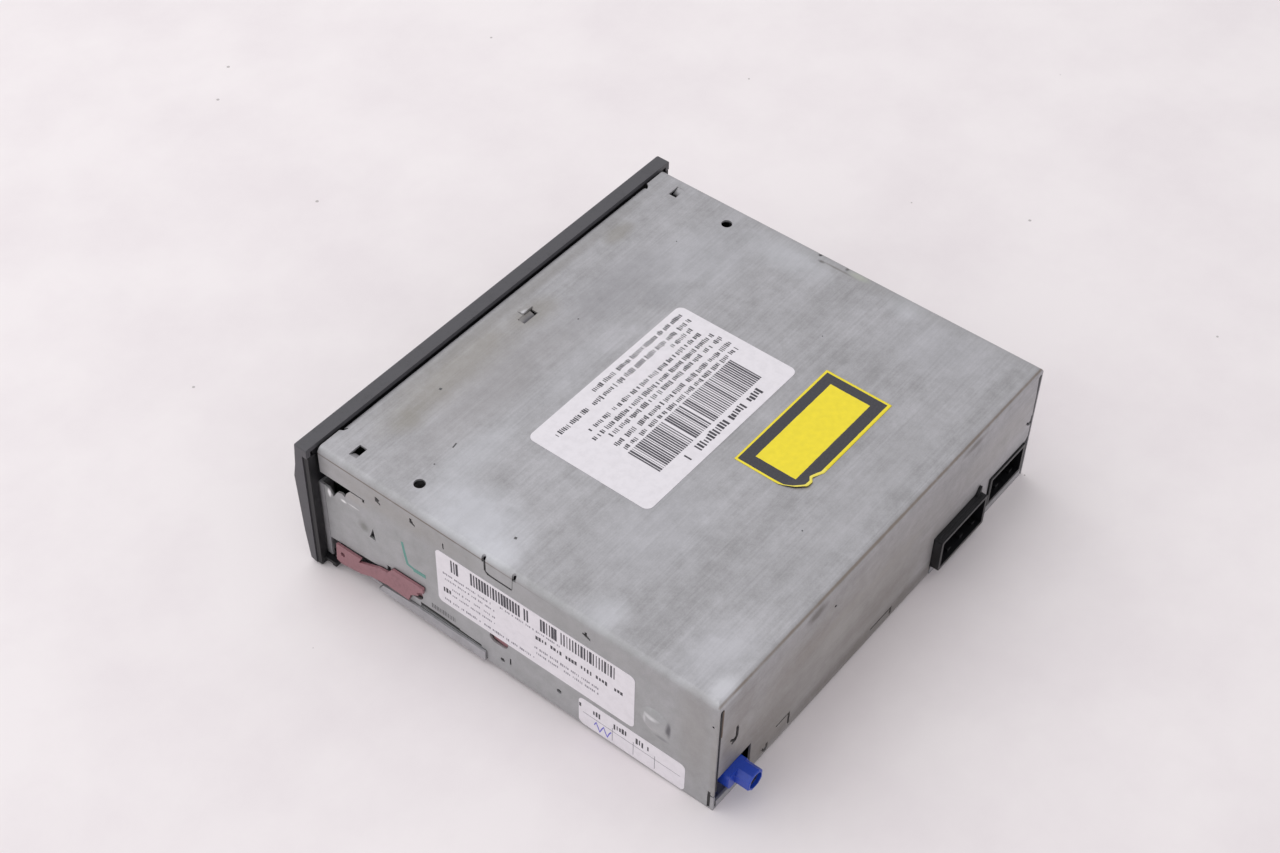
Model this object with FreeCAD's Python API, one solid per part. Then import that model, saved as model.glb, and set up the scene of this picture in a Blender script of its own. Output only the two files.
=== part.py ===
import FreeCAD, Part
import math
import os

# Slot-loading disc player for a dash bay. Millimetres, X across, Y from front to rear, Z up.
# Everything is drawn with y = 0 at the front edge of the metal case and z = 0 under its
# floor, and moved at the end so that the origin is under the middle of the whole part.

# Metal case
chassis_width = 180.0
chassis_depth = 160.0
chassis_height = 52.3
sheet = 0.8
fold_radius = 2.2
seam = 0.15

# Bezel
fascia_margin = 4.0
fascia_drop = 4.0
fascia_rise = 1.0
fascia_bulge = 9.7
fascia_waist = 8.5
fascia_top_depth = 7.6
fascia_foot_depth = 7.1
fascia_back = 2.0
fascia_wall = 1.8
fascia_front_wall = 2.6
fascia_edge = 0.7

# Disc and its path
disc_radius = 60.0
disc_thickness = 1.2
disc_from_rear = 80.0
disc_below_top = 19.3
path_rise = 5.0
path_height = 4.6
slot_side_gap = 3.0
slot_height = 7.0
felt_thickness = 1.1

# Eject button and lamp
button_from_slot = 12.2
button_width = 13.4
button_height = 5.8
button_gap = 0.3
button_travel = 1.2
button_proud = 0.7
button_seat = 5.8
switch_gap = 0.1
lamp_rise = 7.2
lamp_radius = 1.0

# Floating deck
deck_side_gap = 20.0
deck_sheet = 1.0
deck_below_disc = 18.5
deck_front = 6.0
deck_rear_gap = 14.0
post_x = 28.0
post_gap = 2.2
deck_float = 1.0
damper_rise = 11.5
damper_pin_radius = 2.0
damper_gap = 0.8
damper_wall = 1.2
damper_front = 46.0
damper_from_rear = 38.0
spring_front_gap = 10.0
spring_rear_gap = 30.0
spring_seat_z = 9.0
spring_ear_rise = 4.5
spring_radius = 2.6
bracket_gap = 8.0
bracket_foot = 8.0
bracket_front = 36.0
bracket_from_rear = 30.0
bracket_sheet = 1.2

# Disc clamp
pivot_from_rear = 12.0
pivot_rise = 11.5
pivot_radius = 1.0
pivot_clearance = 0.05
clamp_open_deg = 7.0
puck_radius = 14.0
puck_neck_radius = 5.0

# Loading roller and its gears
roller_y = 11.0
roller_radius = 4.2
roller_gap = 0.5
roller_waist_radius = 3.4
roller_shaft_radius = 1.5
gear_module = 0.5
roller_teeth = 20
idler_teeth = 30
pinion_teeth = 14
gear_width = 3.0
gear_backlash = 0.14
motor_y = 28.0
motor_rise = 9.0
motor_radius = 7.0
motor_length = 26.0

# Spindle and pickup
spindle_radius = 13.0
turntable_radius = 15.0
hub_radius = 7.4
sled_rise = 3.5
sled_height = 9.0
lens_start = 24.0
rod_radius = 1.5
rod_spread = 24.0
rod_rise = 7.5
screw_gap_y = 11.0
screw_pitch = 3.0
focus_travel = 0.4
lens_gap = 0.5
lens_half_x = 5.0
lens_half_y = 6.0
lens_half_z = 2.6

# Main board
board_z = 2.6
board_thickness = 1.6
board_front = 30.0
cable_socket_height = 2.8
can_x = -50.0
can_y = 58.0
can_width = 36.0
can_depth = 34.0
can_height = 3.2
chip_x = 14.0
chip_y = 60.0
chip_size = 24.0
chip_height = 1.6
memory_size = (10.0, 12.0, 1.1)
sink_base = 0.6
fin_count = 6
fin_height = 1.3
fin_thickness = 1.0
capacitor_radius = 3.15
capacitor_height = 5.8

# Rear sockets: middle x, width, floor z, height, and how far each stands out
wide_from_narrow = 31.4
wide_width = 28.2
wide_z = 4.2
wide_height = 14.1
wide_out = 3.2
narrow_from_side = 14.4
narrow_width = 22.6
narrow_z = 5.0
narrow_height = 13.5
narrow_out = 0.7
socket_depth = 12.0
socket_wall = 1.3
pin_width = 0.7
coax_from_side = 10.5
coax_z = 11.5
coax_width = 7.0
coax_chamfer = 1.8
coax_base_in = 3.5
coax_base_side = 6.5
coax_base_drop = 3.0
coax_step = 2.4
coax_out = 7.9
coax_bore = 2.9
coax_gap = 0.2

# Side lever
lever_travel = 4.0
lever_gap = 0.3
lever_thickness = 0.9
lever_neck_front = 30.0
lever_neck_rear = 35.4
lever_tail_end = 79.0

# Labels, each with its left end or rear edge measured from the case
label_thickness = 0.12
top_label_x = -36.1
top_label_width = 80.1
top_label_depth = 49.7
top_label_from_rear = 62.6
yellow_label_x = -42.6
yellow_label_width = 51.7
yellow_label_depth = 26.2
yellow_label_from_rear = 29.4
side_label_z = 15.4
side_label_height = 25.2
side_label_length = 80.1
side_label_from_rear = 30.9
sticker_z = 0.3
sticker_height = 13.0
sticker_length = 41.8
sticker_from_rear = 10.9
label_corner = 2.0

# Derived places
half_width = chassis_width / 2
inner_half = half_width - sheet
disc_y = chassis_depth - disc_from_rear
disc_seat_z = chassis_height - disc_below_top
roof_z = chassis_height - sheet
path_z = disc_seat_z + path_rise
path_low = path_z - path_height / 2
path_high = path_z + path_height / 2
slot_low = path_z - slot_height / 2
slot_high = path_z + slot_height / 2
slot_half = disc_radius + slot_side_gap
fascia_half = half_width + fascia_margin
fascia_top = chassis_height + fascia_rise
board_top = board_z + board_thickness
deck_z = disc_seat_z - deck_below_disc
deck_floor = deck_z + deck_sheet
deck_half_width = half_width - deck_side_gap
deck_rear = chassis_depth - deck_rear_gap
deck_wall_in = deck_half_width - deck_sheet
bracket_x = deck_half_width + bracket_gap
bracket_rear = chassis_depth - bracket_from_rear
damper_z = deck_z + damper_rise
damper_ys = (damper_front, chassis_depth - damper_from_rear)
spring_ys = (disc_y - spring_front_gap, disc_y + spring_rear_gap)
spring_ear_z = deck_z + spring_ear_rise
pivot_y = chassis_depth - pivot_from_rear
pivot_z = disc_seat_z + pivot_rise
motor_z = deck_z + motor_rise
sled_z = deck_z + sled_rise
rod_z = deck_z + rod_rise
spring_x = bracket_x - 3.5
roller_z = path_low - roller_gap - roller_radius
gear_x = deck_half_width + 1.5
carrier_back = fascia_back + 0.4
carrier_front = carrier_back + 2.8
fascia_end_back = fascia_back + 2.2
damper_bore = damper_pin_radius + deck_float + damper_gap
lamp_z = path_z + lamp_rise
button_x = slot_half + button_from_slot
narrow_x = narrow_from_side - half_width
wide_x = narrow_x + wide_from_narrow
coax_x = half_width - coax_from_side
coax_top = coax_z + coax_width / 2
front_reach = fascia_bulge - 0.1 + button_proud
rear_reach = chassis_depth + coax_out
middle_y = (rear_reach - front_reach) / 2


def v(x, y, z):
    return FreeCAD.Vector(x, y, z)


def block(x0, x1, y0, y1, z0, z1):
    return Part.makeBox(x1 - x0, y1 - y0, z1 - z0, v(x0, y0, z0))


def rod_x(radius, x0, x1, y, z):
    return Part.makeCylinder(radius, x1 - x0, v(x0, y, z), v(1, 0, 0))


def rod_y(radius, y0, y1, x, z):
    return Part.makeCylinder(radius, y1 - y0, v(x, y0, z), v(0, 1, 0))


def rod_z_way(radius, z0, z1, x, y):
    return Part.makeCylinder(radius, z1 - z0, v(x, y, z0))


def side_plate(points, x0, x1):
    """Outline in y and z, extruded along X."""
    corners = [v(x0, y, z) for y, z in points]
    return Part.Face(Part.makePolygon(corners + corners[:1])).extrude(v(x1 - x0, 0, 0))


def flat_plate(points, z0, z1):
    """Outline in x and y, extruded along Z."""
    corners = [v(x, y, z0) for x, y in points]
    return Part.Face(Part.makePolygon(corners + corners[:1])).extrude(v(0, 0, z1 - z0))


def rear_plate(points, y0, y1):
    """Outline in x and z, extruded along Y."""
    corners = [v(x, y0, z) for x, z in points]
    return Part.Face(Part.makePolygon(corners + corners[:1])).extrude(v(0, y1 - y0, 0))


def rounded(shape, direction, radius):
    """Round every straight edge that runs along the given direction."""
    picked = []
    for edge in shape.Edges:
        run = edge.Vertexes[-1].Point - edge.Vertexes[0].Point
        if run.Length > 1e-6 and abs(abs(run.normalize().dot(direction)) - 1) < 1e-6:
            picked.append(edge)
    return shape.makeFillet(radius, picked)


def mirrored(shape):
    return shape.mirror(v(0, 0, 0), v(1, 0, 0))


def both(shape):
    return [shape, mirrored(shape)]


def fuse(shapes):
    return shapes[0].multiFuse(shapes[1:]).removeSplitter()


def cut_all(shape, tools):
    return shape.cut(Part.makeCompound(tools))


def slot_y(x0, x1, y0, y1, z0, z1):
    """A slot through a side wall with round ends, long in Y."""
    radius = (z1 - z0) / 2
    middle = (z0 + z1) / 2
    return fuse([
        block(x0, x1, y0 + radius, y1 - radius, z0, z1),
        rod_x(radius, x0, x1, y0 + radius, middle),
        rod_x(radius, x0, x1, y1 - radius, middle),
    ])


# Sheet metal case

tab_front = 69.5
tab_rear = 81.7
tab_depth = 8.3
tab_slit = 0.8
window_height = 9.4
window_sill = 5.0
cut_slit = 1.1
lip_front = 22.0
lip_rear = 68.8
lip_height = 4.4
lip_gap = 0.1
corner_height = 7.2
corner_reach = 1.7
roof_overhang = 1.0
front_lip_half = half_width - 12.6
front_lip_reach = 1.7
front_lip_radius = 3.0
top_hole_x = half_width - 9.5
top_hole_y = 34.6
top_hole_radius = 2.0
latch_x = half_width - 7.2
latch_y = 10.2
latch_half = 2.6
seam_z = 41.2
carrier_ear_top = fascia_top - 4.0
front_plate_top = path_z - 2.4
cheek_front = fascia_back + 2.8
dimple_y = chassis_depth - 23.0
dimple_z = 26.1
dimple_radius = 9.6
dimple_proud = 1.8


def corner_tab_slits():
    """Slits round the tab that holds the lid, down from the fold on each side."""
    x0 = inner_half - 0.2
    x1 = half_width + 1
    low = chassis_height - tab_depth
    top = chassis_height - fold_radius
    return [
        block(x0, x1, tab_front, tab_front + tab_slit, low + 1.4, top),
        block(x0, x1, tab_front + 1.2, tab_rear - 1.0, low, low + tab_slit),
        side_plate([(tab_front, low + 1.5), (tab_front + tab_slit, low + 1.7),
                    (tab_front + 1.6, low + tab_slit), (tab_front + 1.3, low)], x0, x1),
        rod_z_way(0.8, top - 1, chassis_height + 1, half_width - 0.3, tab_front),
        rod_z_way(0.8, top - 1, chassis_height + 1, half_width - 0.3, tab_rear),
    ]


def lances():
    """Small L-shaped lances along the fold."""
    x0 = inner_half - 0.2
    x1 = half_width + 1
    cuts = []
    for y, drop in ((23.6, 7.7), (38.5, 7.1), (chassis_depth - 50.4, 7.0)):
        z = chassis_height - drop
        cuts.append(block(x0, x1, y, y + 0.9, z - 0.1, z + 2.0))
        cuts.append(side_plate([(y, z - 0.1), (y + 2.2, z - 0.9), (y + 2.2, z), (y + 0.9, z + 0.8)],
                               x0, x1))
    cuts.append(block(x0, x1, 52.2, 52.7, chassis_height - 9.3, chassis_height - 7.1))
    return cuts


def side_cuts():
    """Openings that only the right side has."""
    x0 = inner_half - 0.2
    x1 = half_width + 1
    ragged = [(-1, seam_z), (18.5, seam_z), (18.5, 39.5), (17.5, 39.5), (17.5, 40.7),
              (12.2, 40.6), (10.4, 38.5), (9.5, 36.1), (8.2, 36.9), (6.2, 36.2), (4.0, 32.6),
              (2.2, front_plate_top), (-1, front_plate_top)]
    window = [(-1, -1), (-1, window_height), (1.5, window_height + 0.4), (5.8, 10.2), (10.2, 10.3),
              (22.4, 11.4), (23.0, 10.2), (26.2, 10.2), (26.4, 5.4), (27.4, window_sill),
              (35.0, window_sill), (35.0, -1)]
    return [
        side_plate(ragged, x0, x1),
        side_plate(window, x0, x1),
        side_plate([(21.1, 29.1), (19.2, 23.9), (21.9, 23.6)], x0, x1),
        block(x0, x1, 26.1, 27.7, 11.0, 14.7),
        slot_y(x0, x1, lever_neck_front - 1.6, lever_neck_rear + lever_travel + 2.2, 7.7, 12.5),
        block(x0, x1, 40.3, 66.6, 4.8, 5.7),
        slot_y(x0, x1, 70.5, 78.2, 11.8, 16.6),
        block(x0, x1, lip_front - 2, lip_rear + 0.4, -1, sheet + seam),
        block(x0, x1, 78.7, 79.3, 5.4, 8.4),
        rod_x(0.9, x0, x1, 75.6, 5.2),
        rod_x(1.0, x0, x1, 99.2, 8.6),
        rod_x(0.4, x0, x1, chassis_depth - 1.8, chassis_height - 10.6),
        block(x0, x1, chassis_depth - corner_reach - seam - 0.4, chassis_depth + 1, -1, corner_height),
    ]


def curved_slit(x, z, reach, tall, y0, y1):
    """Slit in the rear wall that drops and then hooks towards the right side."""
    return rear_plate([(x, z + tall), (x, z + 1.2), (x + 0.9, z), (x + 2.1, z + 0.5), (x + reach, z + 2.3),
                       (x + reach - 0.5, z + 3.1), (x + 2.0, z + 2.0), (x + cut_slit, z + 2.4),
                       (x + cut_slit, z + tall)], y0, y1)


def corner_slit(x0, x1, z0, z1, y0, y1):
    """Slit in the rear wall that runs level and then down at its left end."""
    return rear_plate([(x0, z0), (x0 + cut_slit, z0), (x0 + cut_slit, z1 - tab_slit), (x1, z1 - tab_slit),
                       (x1, z1), (x0, z1)], y0, y1)


def rear_openings():
    """Cut-outs for the sockets in the rear wall, open at the bottom."""
    y0 = chassis_depth - sheet - 0.2
    y1 = chassis_depth + 1
    far_left = narrow_x - narrow_width / 2 - 0.3
    return [
        block(coax_x - 8.0, inner_half - 0.4, y0, y1, -1, coax_top + coax_gap),
        block(wide_x - wide_width / 2 - 0.2, wide_x + wide_width / 2 + 0.2, y0, y1,
              -1, wide_z + wide_height + 0.2),
        rear_plate([(narrow_x + narrow_width / 2 + 0.2, -1),
                    (narrow_x + narrow_width / 2 + 0.2, narrow_z + narrow_height + 0.2),
                    (far_left, narrow_z + narrow_height + 0.2), (-inner_half, 20.8),
                    (-inner_half, -1)], y0, y1),
        curved_slit(coax_x - 0.1, 26.4, 4.1, 7.0, y0, y1),
        curved_slit(0.2 - inner_half, 26.0, 3.8, 4.6, y0, y1),
        curved_slit(coax_x - 17.6, 1.4, 3.2, 3.8, y0, y1),
        rear_plate([(30.0, 40.9), (31.0, 41.6), (30.6, 42.4), (29.6, 41.7)], y0, y1),
        corner_slit(50.4, 57.9, 3.0, 9.0, y0, y1),
        corner_slit(-7.1, 5.4, 2.2, 5.6, y0, y1),
        block(-inner_half, inner_half, y0, y1, -1, sheet + seam),
    ]


def corner_seams():
    """The open seam between each side and the rear wall, wider at the top."""
    y0 = chassis_depth - sheet - 0.2
    y1 = chassis_depth + 1
    top = chassis_height - 3.4
    edge = inner_half
    wedge = rear_plate([(edge + 0.2, -1), (edge - 0.4, -1), (edge - 0.4, 17), (edge - 0.9, 40),
                        (edge - 1.6, top), (edge + 0.2, top)], y0, y1)
    relief = rod_y(0.9, y0, y1, edge - 0.7, top)
    return both(wedge) + both(relief)


def front_lip():
    """The roof's front edge between its corners, rolled down behind the bezel."""
    y = front_lip_radius - front_lip_reach
    z = chassis_height - front_lip_radius
    roll = rod_x(front_lip_radius, -front_lip_half, front_lip_half, y, z)
    roll = roll.cut(rod_x(front_lip_radius - sheet, -half_width, half_width, y, z))
    return roll.common(block(-half_width, half_width, -front_lip_reach, y, z, chassis_height))


def roof_notches():
    """Cuts across the roof's front edge where the rolled lip ends."""
    notches = []
    for side in (-1, 1):
        end = side * front_lip_half
        notches.append(flat_plate([(end, -2), (end + side * 3, -2), (end + side * 1.6, 0.2),
                                   (end - side * 0.4, 1.1), (end, 0.2)], roof_z - 1, chassis_height + 1))
    middle = block(-front_lip_half, front_lip_half, -2, front_lip_radius - front_lip_reach,
                   roof_z - 1, chassis_height + 1)
    return notches + [middle]


def folded(shape, top, radius):
    """Round the two side folds and the rear fold at the top of a box."""
    folds = [edge for edge in shape.Edges
             if abs(edge.CenterOfMass.z - top) < 1e-6 and edge.CenterOfMass.y > 1]
    return shape.makeFillet(radius, folds)


def bent_tongues():
    """Tongues pushed down into the middle hole and the two latch holes of the roof."""
    root = roof_z + 0.1
    middle = side_plate([(9.5, root), (9.5, root + 0.6), (12.4, roof_z - 1.2), (12.4, roof_z - 2)], 1.0, 4.0)
    edge = latch_x + latch_half + 0.1
    tip = edge - 2.8
    latch = rear_plate([(edge, root), (edge, root + 0.6), (tip, roof_z - 1), (tip, roof_z - 1.7)],
                       latch_y - 1.5, latch_y + 1.5)
    return [middle] + both(latch)


def top_cover():
    outer = folded(block(-half_width, half_width, -roof_overhang, chassis_depth, 0, chassis_height),
                   chassis_height, fold_radius)
    inner = folded(block(-inner_half, inner_half, -2, chassis_depth - sheet, -1, roof_z),
                   roof_z, fold_radius - sheet)
    shell = outer.cut(inner)
    shell = cut_all(shell, [block(-half_width - 1, half_width + 1, -2, 0, -1, seam_z)] + roof_notches())
    tools = []
    for piece in corner_tab_slits() + lances():
        tools += both(piece)
    tools += side_cuts() + rear_openings() + corner_seams()
    hole = rod_z_way(top_hole_radius, roof_z - 1, chassis_height + 1, top_hole_x, top_hole_y)
    latch = block(latch_x - latch_half, latch_x + latch_half, latch_y - 1.6, latch_y + 1.6,
                  roof_z - 1, chassis_height + 1)
    tools += both(hole) + both(latch)
    tools.append(block(-2.6, 4.4, 9.6, 12.7, roof_z - 1, chassis_height + 1))
    shell = cut_all(shell, tools)
    lug = side_plate([(6.8, roof_z), (6.8, chassis_height), (9.6, chassis_height + 0.8),
                      (9.6, roof_z)], -3.4, 1.4)
    dome = Part.makeSphere(dimple_radius, v(half_width + dimple_proud - dimple_radius, dimple_y, dimple_z))
    dome = dome.common(block(half_width - sheet / 2, half_width + 2, dimple_y - 8, dimple_y + 8,
                             dimple_z - 8, dimple_z + 8))
    return fuse([shell, lug, front_lip()] + bent_tongues() + both(dome))


def board_bosses():
    x = bracket_x - 12
    return [(side * x, y) for side in (-1, 1) for y in (board_front + 6, chassis_depth - 19)]


def tray_lips():
    """Lips at the rear that stand in the bottoms of the socket cut-outs."""
    y0 = chassis_depth - 2.5
    lips = []
    for x0, x1 in ((coax_x - 7.4, inner_half - 0.8),
                   (wide_x - wide_width / 2 + 0.6, wide_x + wide_width / 2 - 0.6),
                   (-inner_half + 0.8, narrow_x + narrow_width / 2 - 0.6)):
        lips.append(block(x0, x1, y0, chassis_depth, 0, sheet))
        lips.append(block(x0, x1, chassis_depth - sheet, chassis_depth, 0, 3.2))
    return lips


def side_lip():
    """The outer lip low on the right side, wrapped round under the lid."""
    face = half_width + lip_gap
    outline = [(lip_front, 0), (lip_front + 2, 3.4), (lip_front + 15, lip_height),
               (lip_rear, lip_height), (lip_rear, 0)]
    return [side_plate(outline, face, face + sheet),
            block(inner_half - 2, face + sheet, lip_front, lip_rear, 0, sheet)]


def corner_wrap():
    """The tray's fold round the lower rear corner."""
    y0 = chassis_depth - corner_reach
    return [block(inner_half, half_width, y0, chassis_depth, 0, corner_height - 0.6),
            block(inner_half - 2, half_width, y0, chassis_depth, 0, sheet)]


def bottom_tray():
    edge = inner_half - seam
    floor = block(-edge, edge, 1, chassis_depth - sheet - seam, 0, sheet)
    flange = block(edge - sheet, edge, 86, chassis_depth - 6, 0, 9)
    bosses = [rod_z_way(3.0, sheet, board_z, x, y) for x, y in board_bosses()]
    body = fuse([floor] + both(flange) + bosses + tray_lips() + side_lip() + corner_wrap())
    cuts = [rod_z_way(1.2, -1, board_z + 1, x, y) for x, y in board_bosses()]
    for row in range(3):
        for column in range(6):
            x = -50 + 20 * column
            y = 70 + 12 * row
            cuts.append(block(x - 7, x + 7, y - 1.25, y + 1.25, -1, sheet + 1))
    cuts += [rod_z_way(1.5, -1, sheet + 1, x, y) for x, y in bracket_screw_places()]
    return cut_all(body, cuts)


def front_frame():
    edge = half_width - 0.1
    inside = inner_half - seam
    back = -fascia_back + 0.4
    y0 = back - sheet
    end = slot_half + 2
    outline = [(-edge, 0.2), (edge, 0.2), (edge, front_plate_top),
               (end, front_plate_top), (end, slot_low - 2.5), (-end, slot_low - 2.5),
               (-end, front_plate_top), (-edge, front_plate_top)]
    plate = rear_plate(outline, y0, back)
    cheek = side_plate([(-cheek_front, 0.2), (-0.2, 0.2), (-0.2, front_plate_top), (-2.6, front_plate_top),
                        (-cheek_front, front_plate_top - 3.6)], edge - sheet, edge)
    ear = block(inside - sheet, inside, y0, 10, 14, 30)
    foot = block(9 - inside, inside - 9, back - 0.1, 12, sheet, 2 * sheet)
    lower = block(9 - inside, inside - 9, y0, back, sheet, 3)
    return fuse([plate, foot, lower] + both(cheek) + both(ear))


# Bezel

def fascia_outline(inset):
    """Profile of the bezel in y and z, drawn in by the inset where it is hollow."""
    low = -fascia_drop
    points = [(-fascia_back, low), (-fascia_foot_depth, low + 1.4), (-8.4, 10.4),
              (-fascia_bulge, 36.8), (-fascia_waist, 42.9), (-fascia_top_depth, fascia_top - 0.6),
              (-fascia_top_depth + 0.6, fascia_top), (-fascia_back, fascia_top)]
    if not inset:
        return points
    front = -fascia_bulge + fascia_front_wall + 0.4
    shallow = -fascia_foot_depth + fascia_wall
    return [(-fascia_back + 1, low + inset), (shallow, low + inset + 1.0), (front, 12),
            (front, 44), (shallow, fascia_top - inset), (-fascia_back + 1, fascia_top - inset)]


def fascia():
    shell = side_plate(fascia_outline(0), -fascia_half, fascia_half)
    ends = [edge for edge in shell.Edges
            if abs(abs(edge.CenterOfMass.x) - fascia_half) < 1e-6
            and edge.CenterOfMass.y < -fascia_back - 0.1]
    shell = shell.makeFillet(fascia_edge, ends)
    hollow = side_plate(fascia_outline(fascia_wall), -fascia_half + fascia_wall,
                        fascia_half - fascia_wall)
    solid = side_plate(fascia_outline(0), fascia_edge - fascia_half, fascia_half - fascia_edge)
    duct = block(-slot_half - 2, slot_half + 2, -fascia_bulge, -fascia_back - 0.4,
                 slot_low - 1.6, slot_high + 1.6).common(solid)
    ribs = []
    for x in (18, 46, 72):
        rib = block(x - 0.6, x + 0.6, -fascia_bulge, -carrier_front, 0, slot_low - 4).common(solid)
        ribs += both(rib)
    body = fuse([shell.cut(hollow), duct] + ribs)
    flare = 1.0
    slot = side_plate([(-12, slot_low - flare - 1), (-8.4, slot_low), (1, slot_low),
                       (1, slot_high), (-7.8, slot_high), (-12, slot_high + flare + 1)],
                      -slot_half, slot_half)
    hole_x = button_width / 2 + button_gap
    hole_z = button_height / 2 + button_gap
    button_hole = block(button_x - hole_x, button_x + hole_x, -12, -4,
                        path_z - hole_z, path_z + hole_z)
    lamp_hole = rod_y(lamp_radius, -12, -4, button_x, lamp_z)
    ends = block(half_width + 0.2, fascia_half + 1, -fascia_end_back, 1, -fascia_drop - 1,
                 carrier_ear_top + 0.2)
    return cut_all(body, [slot, button_hole, lamp_hole] + both(ends))


def fascia_carrier():
    foot = -fascia_drop + fascia_wall + 1.3
    plate = block(-half_width - 1, half_width + 1, -carrier_front, -carrier_back, foot,
                  fascia_top - fascia_wall - 0.6)
    duct_hole = block(-slot_half - 2.5, slot_half + 2.5, -9, 0, slot_low - 2, slot_high + 2)
    switch_hole = block(button_x - 8.6, button_x + 8.6, -9, 0, slot_low - 1.2, lamp_z + 2)
    windows = [block(x, x + 15, -9, 0, 8, 22) for x in range(-76, 62, 25)]
    hook = block(half_width - 0.4, half_width + 1.9, -carrier_back - 0.5, 3.0, foot - 0.7, -0.2)
    tooth = block(half_width - 0.4, half_width + 1.9, 1.4, 3.0, foot - 1.3, foot - 0.7)
    ear = block(half_width + 0.4, fascia_half - 0.4, 0.1 - fascia_end_back, -fascia_back, 1 - fascia_drop,
                carrier_ear_top)
    body = fuse([plate] + both(ear))
    cheek_slots = both(block(half_width - 1.3, half_width + 0.7, -9, 0, 0, front_plate_top + 0.4))
    body = cut_all(body, [duct_hole, switch_hole] + windows + cheek_slots)
    return fuse([body] + both(hook) + both(tooth))


def slot_felts():
    strips = [block(-slot_half, slot_half, -7.2, -5.2, z0, z0 + felt_thickness)
              for z0 in (slot_low, slot_high - felt_thickness)]
    return Part.makeCompound(strips)


def eject_button():
    half_x = button_width / 2
    half_z = button_height / 2
    front = -front_reach
    cap = rounded(block(button_x - half_x, button_x + half_x, front, -6.0,
                        path_z - half_z, path_z + half_z), v(0, 1, 0), 0.8)
    face = [edge for edge in cap.Edges if abs(edge.CenterOfMass.y - front) < 1e-6]
    cap = cap.makeFillet(0.4, face)
    flange = block(button_x - half_x - 0.8, button_x + half_x + 0.8, -button_seat - 0.7, -button_seat,
                   path_z - half_z - 0.8, path_z + half_z + 0.8)
    return fuse([cap, flange])


def switch_and_led():
    back = -fascia_back + 0.4
    tip = -button_seat + button_travel + switch_gap
    body = block(button_x - 3, button_x + 3, tip + 0.5, back, path_z - 2.2, path_z + 2.2)
    switch = fuse([body, rod_y(1.5, tip, tip + 0.5, button_x, path_z)])
    led = block(button_x - 1, button_x + 1, -3.2, back, lamp_z - 0.8, lamp_z + 0.8)
    return Part.makeCompound([switch, led])


def indicator_lens():
    return rod_y(lamp_radius, -fascia_waist - 0.3, -4.8, button_x, lamp_z)


def front_board():
    back = -fascia_back + 0.4
    return block(slot_half + 3, half_width - 5.6, back, back + 1.4, slot_low - 12, lamp_z + 2)


# Labels

def sheet_label(x0, x1, y0, y1, radius):
    z0 = chassis_height
    plate = block(x0, x1, y0, y1, z0, z0 + label_thickness)
    return rounded(plate, v(0, 0, 1), radius)


def side_sticker(y0, y1, z0, z1, radius):
    x0 = half_width
    plate = block(x0, x0 + label_thickness, y0, y1, z0, z1)
    return rounded(plate, v(1, 0, 0), radius)


def top_label():
    rear = chassis_depth - top_label_from_rear
    return sheet_label(top_label_x, top_label_x + top_label_width, rear - top_label_depth, rear,
                       label_corner + 0.6)


def yellow_label():
    rear = chassis_depth - yellow_label_from_rear
    front = rear - yellow_label_depth
    left = yellow_label_x
    right = left + yellow_label_width
    outline = [(left, front), (right, front), (right, rear - 3.6), (right - 0.8, rear - 2.4),
               (right - 3.4, rear - 0.4), (right - 7.0, rear), (left, rear)]
    return flat_plate(outline, chassis_height, chassis_height + label_thickness)


def side_label():
    rear = chassis_depth - side_label_from_rear
    return side_sticker(rear - side_label_length, rear, side_label_z,
                        side_label_z + side_label_height, label_corner)


def test_sticker():
    rear = chassis_depth - sticker_from_rear
    return side_sticker(rear - sticker_length, rear, sticker_z, sticker_z + sticker_height,
                        label_corner)


# Side lever

def side_lever():
    x0 = half_width + lever_gap
    x1 = x0 + lever_thickness
    outline = [(3.6, 9.9), (14.9, 10.1), (13.7, 7.7), (23.7, 12.2), (27.0, 12.6), (29.4, 15.9),
               (43.0, 16.4), (42.8, 13.7), (42.4, 14.0), (40.0, 12.2), (40.6, 11.3), (36.9, 8.9),
               (36.0, 5.5), (26.1, 5.7), (19.0, 4.4), (14.2, 2.3), (5.0, 0.6), (3.0, 1.6)]
    outer = side_plate(outline, x0, x1)
    outer = outer.cut(rod_x(1.0, x0 - 1, x1 + 1, 6.2, 6.0))
    inside = inner_half - lever_gap
    front = lever_neck_front
    neck = block(inside - 1.0, x0 + 0.2, front, lever_neck_rear, 8.4, 12.0)
    bar = side_plate([(front, 8.4), (front + 10, 8.4), (front + 16, 13), (lever_tail_end, 13),
                      (lever_tail_end, 17), (front, 17)], inside - 1.4, inside)
    return fuse([outer, neck, bar])


# Main board and what stands on it

def main_board():
    side = inner_half - 1.4
    waist = bracket_x - 5
    wide_from = chassis_depth - 27
    notch = chassis_depth - 11
    rear = chassis_depth - 1.4
    outline = [(-waist, board_front), (waist, board_front), (waist, wide_from), (side, wide_from),
               (side, notch), (coax_x - 7, notch), (coax_x - 7, rear), (-side, rear),
               (-side, wide_from), (-waist, wide_from)]
    plate = flat_plate(outline, board_z, board_top)
    return cut_all(plate, [rod_z_way(1.3, 0, 9, x, y) for x, y in board_bosses()])


def slotted_screw(x, y, foot, seat, shank_radius):
    """Screw with its head on a seat and its shank down to a foot."""
    head = rod_z_way(shank_radius + 1.1, seat, seat + 1.5, x, y)
    slot = block(x - 0.35, x + 0.35, y - 3, y + 3, seat + 0.9, seat + 2)
    return fuse([head, rod_z_way(shank_radius, foot, seat, x, y)]).cut(slot)


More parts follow.
